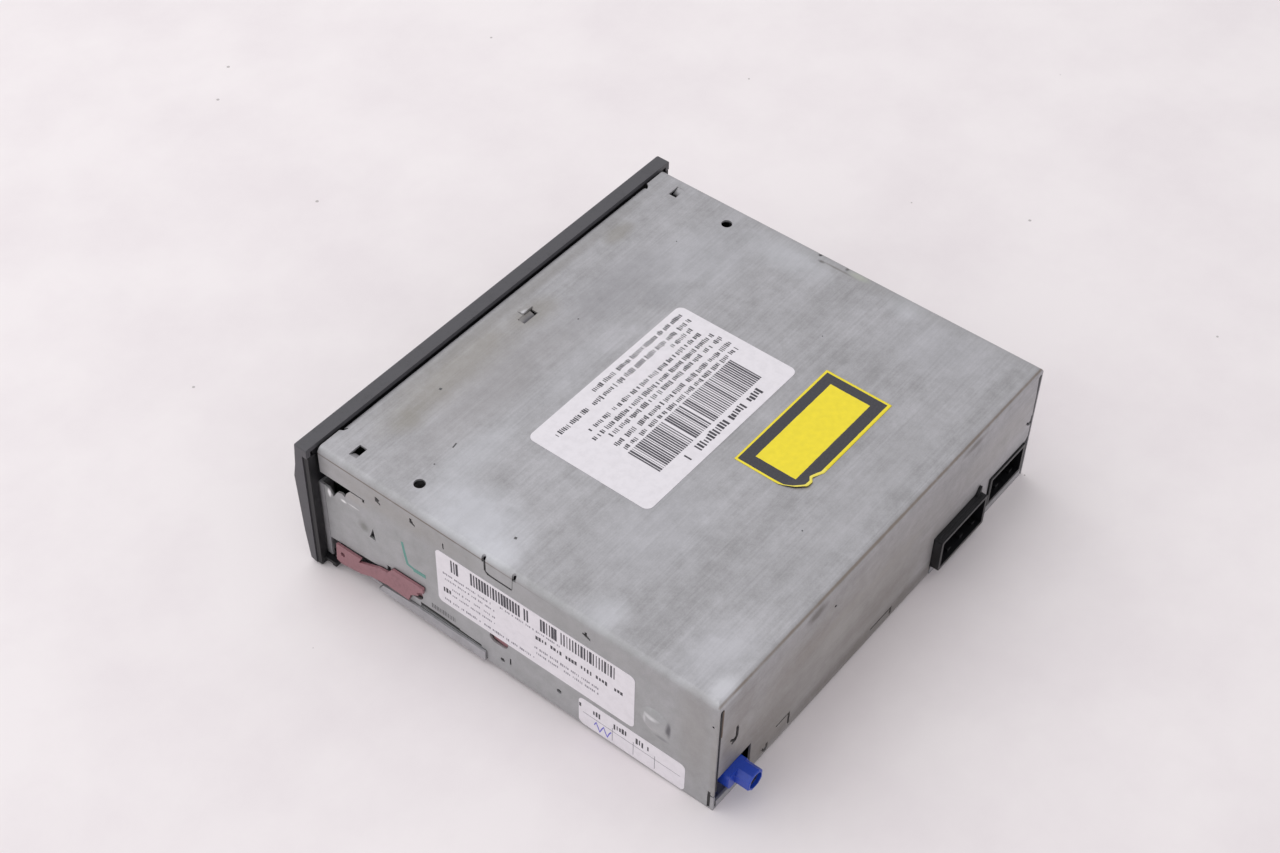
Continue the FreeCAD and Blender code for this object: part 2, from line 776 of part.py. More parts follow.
def case_screws():
    screws = [slotted_screw(x, y, sheet + 0.4, board_top, 1.2) for x, y in board_bosses()]
    seat = sheet + bracket_sheet
    screws += [slotted_screw(x, y, 0, seat, 1.5) for x, y in bracket_screw_places()]
    return Part.makeCompound(screws)


def shield_can():
    return rounded(block(can_x, can_x + can_width, can_y, can_y + can_depth,
                         board_top, board_top + can_height), v(0, 0, 1), 1.5)


def board_chips():
    chips = [block(chip_x, chip_x + chip_size, chip_y, chip_y + chip_size,
                   board_top, board_top + chip_height)]
    width, depth, height = memory_size
    front = board_front + 8
    for i in range(4):
        x = 1.3 * width * i - 44
        chips.append(block(x, x + width, front, front + depth, board_top, board_top + height))
    return Part.makeCompound(chips)


def heatsink():
    z0 = board_top + chip_height
    z1 = z0 + sink_base
    y1 = chip_y + chip_size
    step = (chip_size - fin_thickness) / (fin_count - 1)
    body = [block(chip_x, chip_x + chip_size, chip_y, y1, z0, z1)]
    for i in range(fin_count):
        x = chip_x + step * i
        body.append(block(x, x + fin_thickness, chip_y, y1, z1, z1 + fin_height))
    return fuse(body)


def capacitors():
    cans = []
    for x in (bracket_x - 2, bracket_x + 5.5):
        cans += both(rod_z_way(capacitor_radius, board_top, board_top + capacitor_height,
                               x, chassis_depth - 21))
    return Part.makeCompound(cans)


def cable_socket():
    front = disc_y + 18
    return block(-13, 13, front, front + 6, board_top, board_top + cable_socket_height)


def flat_cable():
    low = board_top + cable_socket_height
    high = deck_z - board_thickness + 0.2
    thick = 0.3
    front = disc_y + 18
    rear = front + 15
    outer = block(-11, 11, front, rear, low, high)
    inner = block(-12, 12, front - 1, rear - thick, low + thick, high - thick)
    return outer.cut(inner)


# Rear sockets

def socket_shell(x, width, z, height, out):
    x0 = x - width / 2
    x1 = x + width / 2
    face = chassis_depth + out
    shell = block(x0, x1, chassis_depth - socket_depth, face, z, z + height)
    shell = rounded(shell, v(0, 1, 0), 0.7)
    return shell.cut(block(x0 + socket_wall, x1 - socket_wall, face - socket_depth, face + 1,
                           z + socket_wall, z + height - socket_wall))


def socket_pins(x, width, z, height, out, columns):
    floor = chassis_depth + out - socket_depth
    span = width - 2 * socket_wall - 4
    pins = []
    for row in (0.3, 0.7):
        for i in range(columns):
            px = x - span / 2 + span * i / (columns - 1)
            pz = z + height * row
            half = pin_width / 2
            pins.append(block(px - half, px + half, floor, floor + 6.5, pz - half, pz + half))
    return pins


def coax_housing():
    half = coax_width / 2
    step = chassis_depth + coax_step
    flat = half - coax_chamfer
    corners = [(flat, half), (half, flat), (half, -flat), (flat, -half),
               (-flat, -half), (-half, -flat), (-half, flat), (-flat, half)]
    head = rear_plate([(coax_x + x, coax_z + z) for x, z in corners], step - 0.5, rear_reach)
    face = [edge for edge in head.Edges if abs(edge.CenterOfMass.y - rear_reach) < 1e-6]
    head = head.makeChamfer(0.3, face)
    base = rounded(block(coax_x - coax_base_in, coax_x + coax_base_side, chassis_depth - 9, step,
                         coax_z - coax_base_drop, coax_top), v(0, 1, 0), 1.6)
    foot = block(coax_x - half, coax_x + half, chassis_depth - 14, chassis_depth - 8.5, board_top, coax_top)
    body = fuse([head, base, foot])
    bore = rod_y(coax_bore, step + 0.6, rear_reach + 1, coax_x, coax_z)
    inner = rod_y(coax_bore - 0.6, chassis_depth - 3, step + 1, coax_x, coax_z)
    return cut_all(body, [bore, inner])


def coax_shield():
    step = chassis_depth + coax_step
    tube = rod_y(coax_bore, step + 0.6, rear_reach - 1.2, coax_x, coax_z)
    return tube.cut(rod_y(coax_bore - 0.3, step, rear_reach, coax_x, coax_z))


def coax_contact():
    return rod_y(0.5, chassis_depth - 3, rear_reach - 2.0, coax_x, coax_z)


# Brackets, dampers and springs that carry the deck

def bracket_screw_places():
    x = bracket_x + bracket_foot - 3
    return [(side * x, y) for side in (-1, 1)
            for y in (bracket_front + 20, disc_y + 14, bracket_rear - 4)]


def deck_bracket():
    x1 = bracket_x + bracket_sheet
    wall = block(bracket_x, x1, bracket_front, bracket_rear, sheet, damper_z + 8)
    foot = block(bracket_x, bracket_x + bracket_foot, bracket_front + 12, bracket_rear,
                 sheet, sheet + bracket_sheet)
    shelves = [block(spring_x - 3.2, bracket_x + 0.5, y - 3.5, y + 3.5, spring_seat_z - 1,
                     spring_seat_z) for y in spring_ys]
    body = fuse([wall, foot] + shelves)
    cuts = [rod_x(damper_bore + damper_wall, bracket_x - 1, x1 + 1, y, damper_z) for y in damper_ys]
    cuts += [rod_z_way(1.5, 0, 5, x, y) for x, y in bracket_screw_places() if x > 0]
    return cut_all(body, cuts)


def dampers():
    cups = []
    neck = damper_bore + damper_wall
    for y in damper_ys:
        x1 = bracket_x + bracket_sheet
        cup = fuse([
            rod_x(neck + 1.5, bracket_x - 4.4, bracket_x, y, damper_z),
            rod_x(neck, bracket_x, x1, y, damper_z),
            rod_x(neck + 1.2, x1, x1 + 1.4, y, damper_z),
        ]).cut(rod_x(damper_bore, bracket_x - 5, x1 + 0.4, y, damper_z))
        cups += both(cup)
    return Part.makeCompound(cups)


def deck_springs():
    springs = []
    for y in spring_ys:
        tube = rod_z_way(spring_radius, spring_seat_z, spring_ear_z, spring_x, y)
        springs += both(tube.cut(rod_z_way(spring_radius - 0.7, 0, 40, spring_x, y)))
    return Part.makeCompound(springs)


# Floating deck

def deck_wall():
    low = path_low - 2.7
    outline = [(deck_front, deck_floor), (deck_rear, deck_floor), (deck_rear, low - 4),
               (pivot_y + 4, low),
               (pivot_y + 4, pivot_z + 2.5), (pivot_y - 5, pivot_z + 2.5), (pivot_y - 20, low),
               (deck_front + 30, low - 4), (deck_front + 30, path_high + 0.7),
               (deck_front, path_high + 0.7)]
    wall = side_plate(outline, deck_wall_in, deck_half_width)
    pins = [rod_x(damper_pin_radius, deck_wall_in + 0.5, bracket_x - 0.5, y, damper_z) for y in damper_ys]
    ears = [block(deck_wall_in + 0.5, spring_x + 3.0, y - 3, y + 3, spring_ear_z,
                  spring_ear_z + deck_sheet) for y in spring_ys]
    return [wall] + pins + ears


def deck_plate():
    floor = block(-deck_half_width, deck_half_width, deck_front, deck_rear, deck_z, deck_floor)
    post_y = disc_y + math.sqrt((disc_radius + post_gap) ** 2 - post_x ** 2)
    return fuse([floor] + both(rod_z_way(1.5, deck_z, path_z, post_x, post_y)))


def deck_sides():
    beam = block(-deck_half_width, deck_half_width, pivot_y + 3, pivot_y + 4,
                 path_low - 1.7, path_high + 0.7)
    sides = deck_wall()
    body = fuse([beam] + sides + [mirrored(piece) for piece in sides])
    y1, z1 = idler_centre()
    cuts = [
        rod_x(pivot_radius, -80, 80, pivot_y, pivot_z),
        rod_x(3.0, deck_wall_in - 9, bracket_x, roller_y, roller_z),
        rod_x(2.6, deck_wall_in - 9, bracket_x, motor_y, motor_z),
        rod_x(1.0, deck_wall_in - 9, bracket_x, y1, z1),
    ]
    return cut_all(body, cuts)


def deck_board():
    return block(-30, 30, disc_y + 12, disc_y + 52, deck_z - board_thickness + 0.2, deck_z)


def upper_guide():
    z0 = path_high + 0.7
    plate = block(-deck_half_width, deck_half_width, deck_front + 1, 18, z0, z0 + 1.5)
    ribs = [block(x - 0.5, x + 0.5, deck_front + 1, 18, z0 + 1.5, z0 + 3) for x in (-40, 0, 40)]
    return fuse([plate] + ribs)


def roller_frame():
    front = roller_y - 4
    rear = roller_y + 5
    low = roller_z - 9
    end = deck_wall_in - 3
    bar = block(-deck_wall_in, deck_wall_in, front, rear, low, low + 3)
    cheek = block(end - 4, end, front, rear, low, path_low - 1)
    legs = [block(x - 6, x, front, rear, deck_floor, low) for x in (36, end)]
    body = [bar, cheek, mirrored(cheek)]
    for leg in legs:
        body += both(leg)
    return fuse(body).cut(rod_x(2.5, -80, 80, roller_y, roller_z))


def roller_bushes():
    end = deck_wall_in - 3
    ring = rod_x(2.5, end - 4, end, roller_y, roller_z)
    bore = roller_shaft_radius + pivot_clearance
    return Part.makeCompound(both(ring.cut(rod_x(bore, 50, 80, roller_y, roller_z))))


def roller_shaft():
    return rod_x(roller_shaft_radius, 2.5 - deck_wall_in, gear_x + gear_width, roller_y, roller_z)


def roller_rubbers():
    length = deck_wall_in - 17
    cone = Part.makeCone(roller_waist_radius, roller_radius, length, v(8, roller_y, roller_z),
                         v(1, 0, 0))
    return Part.makeCompound(both(cone.cut(rod_x(roller_shaft_radius, 0, 80, roller_y, roller_z))))


def load_motor():
    x1 = deck_wall_in - 5
    can = rod_x(motor_radius, x1 - motor_length, x1, motor_y, motor_z)
    boss = rod_x(2.4, x1, x1 + 1.5, motor_y, motor_z)
    mount = block(x1 - 18, x1 - 8, motor_y - 4, motor_y + 4, deck_floor, motor_z)
    body = fuse([can, boss, mount])
    return body.cut(rod_x(1.1, x1 - 9, x1 + 3, motor_y, motor_z))


# Gears, all turning about X

def gear_radius(teeth):
    return gear_module * teeth / 2


def idler_centre():
    """Where an idler meshes with both the roller gear and the pinion, on their lower side."""
    a = gear_radius(roller_teeth) + gear_radius(idler_teeth)
    b = gear_radius(pinion_teeth) + gear_radius(idler_teeth)
    dy = motor_y - roller_y
    dz = motor_z - roller_z
    gap = math.hypot(dy, dz)
    along = (a * a - b * b + gap * gap) / (2 * gap)
    across = math.sqrt(a * a - along * along)
    return (roller_y + (along * dy + across * dz) / gap, roller_z + (along * dz - across * dy) / gap)


def involute_angle(radius, base):
    """Angle that an involute has turned through at a radius."""
    if radius <= base:
        return 0.0
    roll = math.sqrt((radius / base) ** 2 - 1)
    return roll - math.atan(roll)


def spur_gear(teeth, phase, y, z, bore):
    """Involute spur gear about X, with one tooth centred on the phase angle from +Y."""
    pitch = gear_radius(teeth)
    base = pitch * math.cos(math.radians(20))
    root = pitch - 1.25 * gear_module
    tip = pitch + 0.92 * gear_module
    half = (math.pi * gear_module / 2 - gear_backlash) / 2 / pitch + involute_angle(pitch, base)
    flank = [root, max(root, base), (pitch + max(root, base)) / 2, pitch, (pitch + tip) / 2, tip]
    points = []
    for i in range(teeth):
        middle = phase + 2 * math.pi * i / teeth
        rising = [(r, middle - half + involute_angle(r, base)) for r in flank]
        falling = [(r, middle + half - involute_angle(r, base)) for r in reversed(flank)]
        for r, angle in rising + falling:
            point = (y + r * math.cos(angle), z + r * math.sin(angle))
            if not points or math.dist(point, points[-1]) > 1e-4:
                points.append(point)
    gear = side_plate(points, gear_x, gear_x + gear_width)
    return gear.cut(rod_x(bore, gear_x - 1, gear_x + gear_width + 1, y, z))


def meshed_phase(phase, teeth, own_teeth, direction):
    """Phase that puts a gap of the second gear round a tooth of the first."""
    step = 2 * math.pi / teeth
    offset = (phase - direction) % step
    shift = offset * gear_radius(teeth) + math.pi * gear_module / 2
    return direction + math.pi - shift / gear_radius(own_teeth)


def gear_train():
    """The three gears with their teeth in mesh at rest."""
    y1, z1 = idler_centre()
    down = math.atan2(z1 - roller_z, y1 - roller_y)
    up = math.atan2(motor_z - z1, motor_y - y1)
    first = down
    second = meshed_phase(first, roller_teeth, idler_teeth, down)
    third = meshed_phase(second, idler_teeth, pinion_teeth, up)
    roller = spur_gear(roller_teeth, first, roller_y, roller_z, roller_shaft_radius)
    idler = spur_gear(idler_teeth, second, y1, z1, 1.0 + pivot_clearance)
    pinion = spur_gear(pinion_teeth, third, motor_y, motor_z, 0.8)
    return roller, idler, pinion


def motor_pinion(gear):
    x1 = deck_wall_in - 5
    shaft = rod_x(1.0, x1 - 8.5, gear_x, motor_y, motor_z)
    return fuse([gear, shaft, rod_x(0.8, gear_x, gear_x + gear_width + 0.5, motor_y, motor_z)])


def gear_post():
    y1, z1 = idler_centre()
    stem = rod_x(1.0, deck_wall_in, gear_x + gear_width + 0.9, y1, z1)
    return fuse([stem, rod_x(2.0, gear_x + gear_width + 0.3, gear_x + gear_width + 0.9, y1, z1)])


# Spindle

def spindle_stator():
    base = rod_z_way(spindle_radius, deck_floor, deck_floor + 4.0, 0, disc_y)
    top = disc_seat_z - 5.5
    coils = rod_z_way(spindle_radius - 2.6, deck_floor + 4.0, top, 0, disc_y)
    body = fuse([base, coils])
    slots = []
    for i in range(9):
        slot = block(4.5, 11, -0.5, 0.5, deck_floor + 4.6, top + 0.5)
        slot.rotate(v(0, 0, 0), v(0, 0, 1), 40 * i)
        slot.translate(v(0, disc_y, 0))
        slots.append(slot)
    bore = rod_z_way(roller_shaft_radius + pivot_clearance, deck_floor + 1, top + 2, 0, disc_y)
    return cut_all(body, slots + [bore])


def spindle_rotor():
    z0 = deck_floor + 4.6
    top = disc_seat_z - 3.0
    can = rod_z_way(spindle_radius, z0, top, 0, disc_y)
    can = can.cut(rod_z_way(spindle_radius - 1.4, z0 - 1, top - 1.2, 0, disc_y))
    return fuse([can, rod_z_way(roller_shaft_radius, deck_floor + 1.5, top + 1, 0, disc_y)])


def turntable():
    z0 = disc_seat_z - 3.0
    seat = rod_z_way(turntable_radius, z0, disc_seat_z - 0.6, 0, disc_y)
    rim = rod_z_way(turntable_radius - 3.2, disc_seat_z - 0.6, disc_seat_z, 0, disc_y)
    cone = Part.makeCone(hub_radius, hub_radius - 1.2, 2.2, v(0, disc_y, disc_seat_z))
    body = fuse([seat, rim, cone])
    return body.cut(rod_z_way(roller_shaft_radius, z0 - 1, z0 + 1, 0, disc_y))


def turntable_pad():
    ring = rod_z_way(turntable_radius, disc_seat_z - 0.6, disc_seat_z, 0, disc_y)
    return ring.cut(rod_z_way(turntable_radius - 3.2, 0, 60, 0, disc_y))


# Pickup sled

screw_y = disc_y + rod_spread + screw_gap_y
sled_start = lens_start - 13.0
sled_end = lens_start + 9.5
bearing_x = deck_wall_in - 1.1


def guide_rods():
    rods = [rod_x(rod_radius, -3.5, bearing_x + 1.0, disc_y + side * rod_spread, rod_z)
            for side in (-1, 1)]
    return Part.makeCompound(rods)


def rod_holders():
    holders = []
    for side in (-1, 1):
        y = disc_y + side * rod_spread
        for x0, x1 in ((-4.0, 0.0), (bearing_x, bearing_x + 1.0)):
            body = block(x0, x1, y - 3.4, y + 3.4, deck_floor, rod_z + 3)
            holders.append(body.cut(rod_x(rod_radius, x0 - 5, x1 + 5, y, rod_z)))
    return Part.makeCompound(holders)


def sled():
    near = disc_y - rod_spread
    far = disc_y + rod_spread
    top = sled_z + sled_height
    body = block(sled_start, sled_end, near - 3, far + 4, sled_z, top)
    nut = block(sled_start + 2, sled_start + 12, far + 3, screw_y - rod_radius - 0.3,
                rod_z - 2, rod_z + 2)
    magnets = [block(lens_start - 4, lens_start + 4, disc_y + s * 8.5 - 1.2, disc_y + s * 8.5 + 1.2,
                     top, top + 2.6) for s in (-1, 1)]
    body = fuse([body, nut] + magnets)
    cuts = [
        rod_z_way(spindle_radius + 1.2, 0, 60, 0, disc_y),
        rod_x(rod_radius + pivot_clearance, -10, 90, far, rod_z),
        block(0, 90, near - 5, near + rod_radius + 0.2, rod_z - rod_radius - 0.1,
              rod_z + rod_radius + 0.1),
        block(lens_start - lens_half_x - lens_gap, lens_start + lens_half_x + lens_gap,
              disc_y - lens_half_y - lens_gap, disc_y + lens_half_y + lens_gap,
              top - lens_half_z - focus_travel - 2 * lens_gap, top + 5),
    ]
    return cut_all(body, cuts)


def lens_holder():
    top = sled_z + sled_height
    high = top + lens_half_z
    body = rounded(block(lens_start - lens_half_x, lens_start + lens_half_x, disc_y - lens_half_y,
                         disc_y + lens_half_y, top - lens_half_z, high), v(0, 0, 1), 1.2)
    return fuse([body, rod_z_way(2.6, high, high + 0.7, lens_start, disc_y)])


def sled_motor():
    can = rod_x(rod_z - deck_floor, -14, 4, screw_y, rod_z)
    foot = block(-14, 4, screw_y - 5, screw_y + 5, deck_floor, deck_floor + 2)
    plate = block(bearing_x, bearing_x + 1.0, screw_y - 4, screw_y + 4, deck_floor, rod_z + 3)
    bore = rod_x(rod_radius + pivot_clearance, 1, 90, screw_y, rod_z)
    motor = fuse([can, foot]).cut(bore)
    return Part.makeCompound([motor, plate.cut(bore)])


def lead_screw():
    thread = rod_x(rod_radius, 1.5, bearing_x + 0.8, screw_y, rod_z)
    grooves = []
    turns = int((bearing_x - 8) / screw_pitch)
    for i in range(turns):
        x = 7 + screw_pitch * i
        ring = rod_x(rod_radius + 1, x, x + 1.0, screw_y, rod_z)
        grooves.append(ring.cut(rod_x(rod_radius - 0.3, x - 1, x + 2, screw_y, rod_z)))
    return cut_all(thread, grooves)


# Disc clamp, drawn closed and then lifted

def lifted(shape):
    shape = shape.copy()
    shape.rotate(v(0, pivot_y, pivot_z), v(1, 0, 0), -clamp_open_deg)
    return shape


arm_z = disc_seat_z + disc_thickness + 3.4


def clamp_hinge_pin():
    return rod_x(pivot_radius, -deck_half_width - 1, deck_half_width + 1, pivot_y, pivot_z)


def clamp_arm():
    bend = disc_y + 20
    front = disc_y - 18
    profile = [(front, arm_z), (bend, arm_z), (pivot_y - 1.5, pivot_z - 0.6),
               (pivot_y - 1.5, pivot_z + 0.4), (bend, arm_z + 1), (front, arm_z + 1)]
    side = deck_wall_in - 5
    plate = side_plate(profile, -side, side)
    plan = flat_plate([(-18, front), (18, front), (18, bend), (side, pivot_y - 10),
                       (side, pivot_y), (30, pivot_y), (30, pivot_y - 6), (-30, pivot_y - 6),
                       (-30, pivot_y), (-side, pivot_y), (-side, pivot_y - 10), (-18, bend)], 20, 60)
    plate = plate.common(plan)
    knuckle = rod_x(2.2, side - 24, side, pivot_y, pivot_z)
    body = fuse([plate] + both(knuckle))
    cuts = [rod_x(pivot_radius + pivot_clearance, -80, 80, pivot_y, pivot_z),
            rod_z_way(puck_neck_radius + 1, 20, 60, 0, disc_y)]
    return lifted(cut_all(body, cuts))


def clamp_puck():
    z0 = disc_seat_z + disc_thickness
    plate = rod_z_way(puck_radius, z0, z0 + 2.6, 0, disc_y)
    neck = rod_z_way(puck_neck_radius, z0 + 2.6, z0 + 5.2, 0, disc_y)
    flange = rod_z_way(8.0, z0 + 5.2, z0 + 6.2, 0, disc_y)
    recess = rod_z_way(hub_radius + 1, z0 - 1, z0 + 1.9, 0, disc_y)
    return lifted(fuse([plate, neck, flange]).cut(recess))


def case_pieces():
    return {
        "top_cover": top_cover(),
        "bottom_tray": bottom_tray(),
        "front_frame": front_frame(),
        "fascia": fascia(),
        "fascia_carrier": fascia_carrier(),
        "slot_felts": slot_felts(),
        "eject_button": eject_button(),
        "switch_and_led": switch_and_led(),
        "indicator_lens": indicator_lens(),
        "front_board": front_board(),
        "top_label": top_label(),
        "yellow_label": yellow_label(),
        "side_label": side_label(),
        "test_sticker": test_sticker(),
        "side_lever": side_lever(),
    }


def board_pieces():
    wide = (wide_x, wide_width, wide_z, wide_height, wide_out)
    narrow = (narrow_x, narrow_width, narrow_z, narrow_height, narrow_out)
    return {
        "main_board": main_board(),
        "case_screws": case_screws(),
        "shield_can": shield_can(),
        "board_chips": board_chips(),
        "heatsink": heatsink(),
        "capacitors": capacitors(),
        "cable_socket": cable_socket(),
        "flat_cable": flat_cable(),
        "wide_connector": socket_shell(*wide),
        "narrow_connector": socket_shell(*narrow),
        "connector_pins": Part.makeCompound(socket_pins(*wide, 9) + socket_pins(*narrow, 6)),
        "coax_housing": coax_housing(),
        "coax_shield": coax_shield(),
        "coax_contact": coax_contact(),
    }


def deck_pieces():
    return {
        "deck_bracket_right": deck_bracket(),
        "deck_bracket_left": mirrored(deck_bracket()),
        "dampers": dampers(),
        "deck_springs": deck_springs(),
        "deck_plate": deck_plate(),
        "deck_sides": deck_sides(),
        "deck_board": deck_board(),
        "upper_guide": upper_guide(),
        "roller_frame": roller_frame(),
        "roller_bushes": roller_bushes(),
        "load_motor": load_motor(),
        "gear_post": gear_post(),
        "clamp_hinge_pin": clamp_hinge_pin(),
        "guide_rods": guide_rods(),
        "rod_holders": rod_holders(),
        "sled_motor": sled_motor(),
        "spindle_stator": spindle_stator(),
    }


def moving_pieces():
    roller_gear, idler_gear, pinion_gear = gear_train()
    return {
        "roller_shaft": roller_shaft(),
        "roller_rubbers": roller_rubbers(),
        "roller_gear": roller_gear,
        "idler_gear": idler_gear,
        "motor_pinion": motor_pinion(pinion_gear),
        "spindle_rotor": spindle_rotor(),
        "turntable": turntable(),
        "turntable_pad": turntable_pad(),
        "sled": sled(),
        "lens_holder": lens_holder(),
        "lead_screw": lead_screw(),
        "clamp_arm": clamp_arm(),
        "clamp_puck": clamp_puck(),
    }


def save(name, shape):
    shape = shape.copy()
    shape.translate(v(0, -middle_y, fascia_drop))
    shape.exportStep(os.path.join("parts", name + ".step"))
    box = shape.BoundBox
    sizes = (box.XMin, box.XMax, box.YMin, box.YMax, box.ZMin, box.ZMax)
    print(name, "solids", len(shape.Solids), "valid", shape.isValid(),
          "volume %.1f" % shape.Volume, "x %.2f %.2f y %.2f %.2f z %.2f %.2f" % sizes)


os.makedirs("parts", exist_ok=True)
for group in (case_pieces(), board_pieces(), deck_pieces(), moving_pieces()):
    for name, shape in group.items():
        save(name, shape)
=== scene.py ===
import bmesh
import bpy
import math
from mathutils import Matrix, Vector


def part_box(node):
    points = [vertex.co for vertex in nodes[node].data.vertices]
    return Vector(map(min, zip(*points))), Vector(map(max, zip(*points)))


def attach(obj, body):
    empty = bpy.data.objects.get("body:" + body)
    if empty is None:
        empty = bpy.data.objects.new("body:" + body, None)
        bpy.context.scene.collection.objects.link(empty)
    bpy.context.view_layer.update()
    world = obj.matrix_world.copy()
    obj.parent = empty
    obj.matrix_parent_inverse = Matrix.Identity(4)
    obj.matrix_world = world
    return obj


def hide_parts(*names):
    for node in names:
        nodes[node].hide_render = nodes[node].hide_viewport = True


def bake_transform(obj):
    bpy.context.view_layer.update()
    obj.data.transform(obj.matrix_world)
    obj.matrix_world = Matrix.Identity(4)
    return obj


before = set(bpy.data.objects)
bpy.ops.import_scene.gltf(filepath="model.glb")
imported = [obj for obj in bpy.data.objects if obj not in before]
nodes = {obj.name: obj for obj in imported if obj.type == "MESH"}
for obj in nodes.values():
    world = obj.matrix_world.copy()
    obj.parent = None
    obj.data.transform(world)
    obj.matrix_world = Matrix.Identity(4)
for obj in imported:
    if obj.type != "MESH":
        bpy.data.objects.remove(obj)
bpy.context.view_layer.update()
scene = bpy.context.scene
mm = 0.001

# Places below are in mm as on a drawing of the metal case: x from its middle, y from its front
# edge, z from under its floor.
caseDepth = 160.0
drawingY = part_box("top_cover")[1][1] / mm - caseDepth
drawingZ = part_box("bottom_tray")[0][2] / mm
lidTop, lidPrint = (corner[2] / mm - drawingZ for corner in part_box("top_label"))
sideFace, sidePrint = (corner[0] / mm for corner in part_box("side_label"))


def at(x, y, z):
    return Vector((x, y + drawingY, z + drawingZ)) * mm


# Colours and shader nodes

def colour(code, gain=1.0):
    parts = [int(code[i:i + 2], 16) / 255 for i in (1, 3, 5)]
    linear = [c / 12.92 if c <= 0.04045 else ((c + 0.055) / 1.055) ** 2.4 for c in parts]
    return [min(1.0, c * gain) for c in linear] + [1.0]


# Adds one node. A link is another node's output, or the plain value that its socket gets.
def addNode(tree, kind, links=None, stops=(), **settings):
    node = tree.nodes.new(kind)
    for key, value in settings.items():
        setattr(node, key, value)
    for socket, source in (links or {}).items():
        if isinstance(source, bpy.types.NodeSocket):
            tree.links.new(source, node.inputs[socket])
        else:
            node.inputs[socket].default_value = source
    for i, (position, value) in enumerate(stops):  # colour ramp stops, two as made
        element = node.color_ramp.elements[i] if i < 2 else node.color_ramp.elements.new(position)
        element.position = position
        element.color = value
    return node


def newMaterial(name, **settings):
    mat = bpy.data.materials.new(name)
    mat.use_nodes = True
    shader = mat.node_tree.nodes["Principled BSDF"]
    for key, value in settings.items():
        shader.inputs[key.replace("_", " ")].default_value = value
    return mat, mat.node_tree, shader


# The zinc-plated sheet of the case

zinc = {  # widths and reaches in mm, shares of each layer adding up to 1
    "dark": "#9B9A9C", "light": "#B7B6BA", "darkAt": 0.41, "lightAt": 0.59, "metallic": 0.45,
    "roughLow": 0.48, "roughHigh": 0.62, "rollStretch": 0.025,
    "layers": {"streak": (0.8, 0.18), "band": (9.0, 0.20), "cloud": (30.0, 0.25), "bloom": (4.5, 0.22),
               "grain": (0.5, 0.15)},
    # painted shade: the colour mixed in where the sheet is enclosed, the occlusion reach, and the levels
    # where it starts and is full
    "raggedWidth": 7.7, "markFull": 0.33, "creviceShade": "#1D1C1D", "creviceShadeReach": 1.1, "creviceShadeFrom": 0.66,
    "creviceShadeFull": 0.34, "relief": 0.02,
}
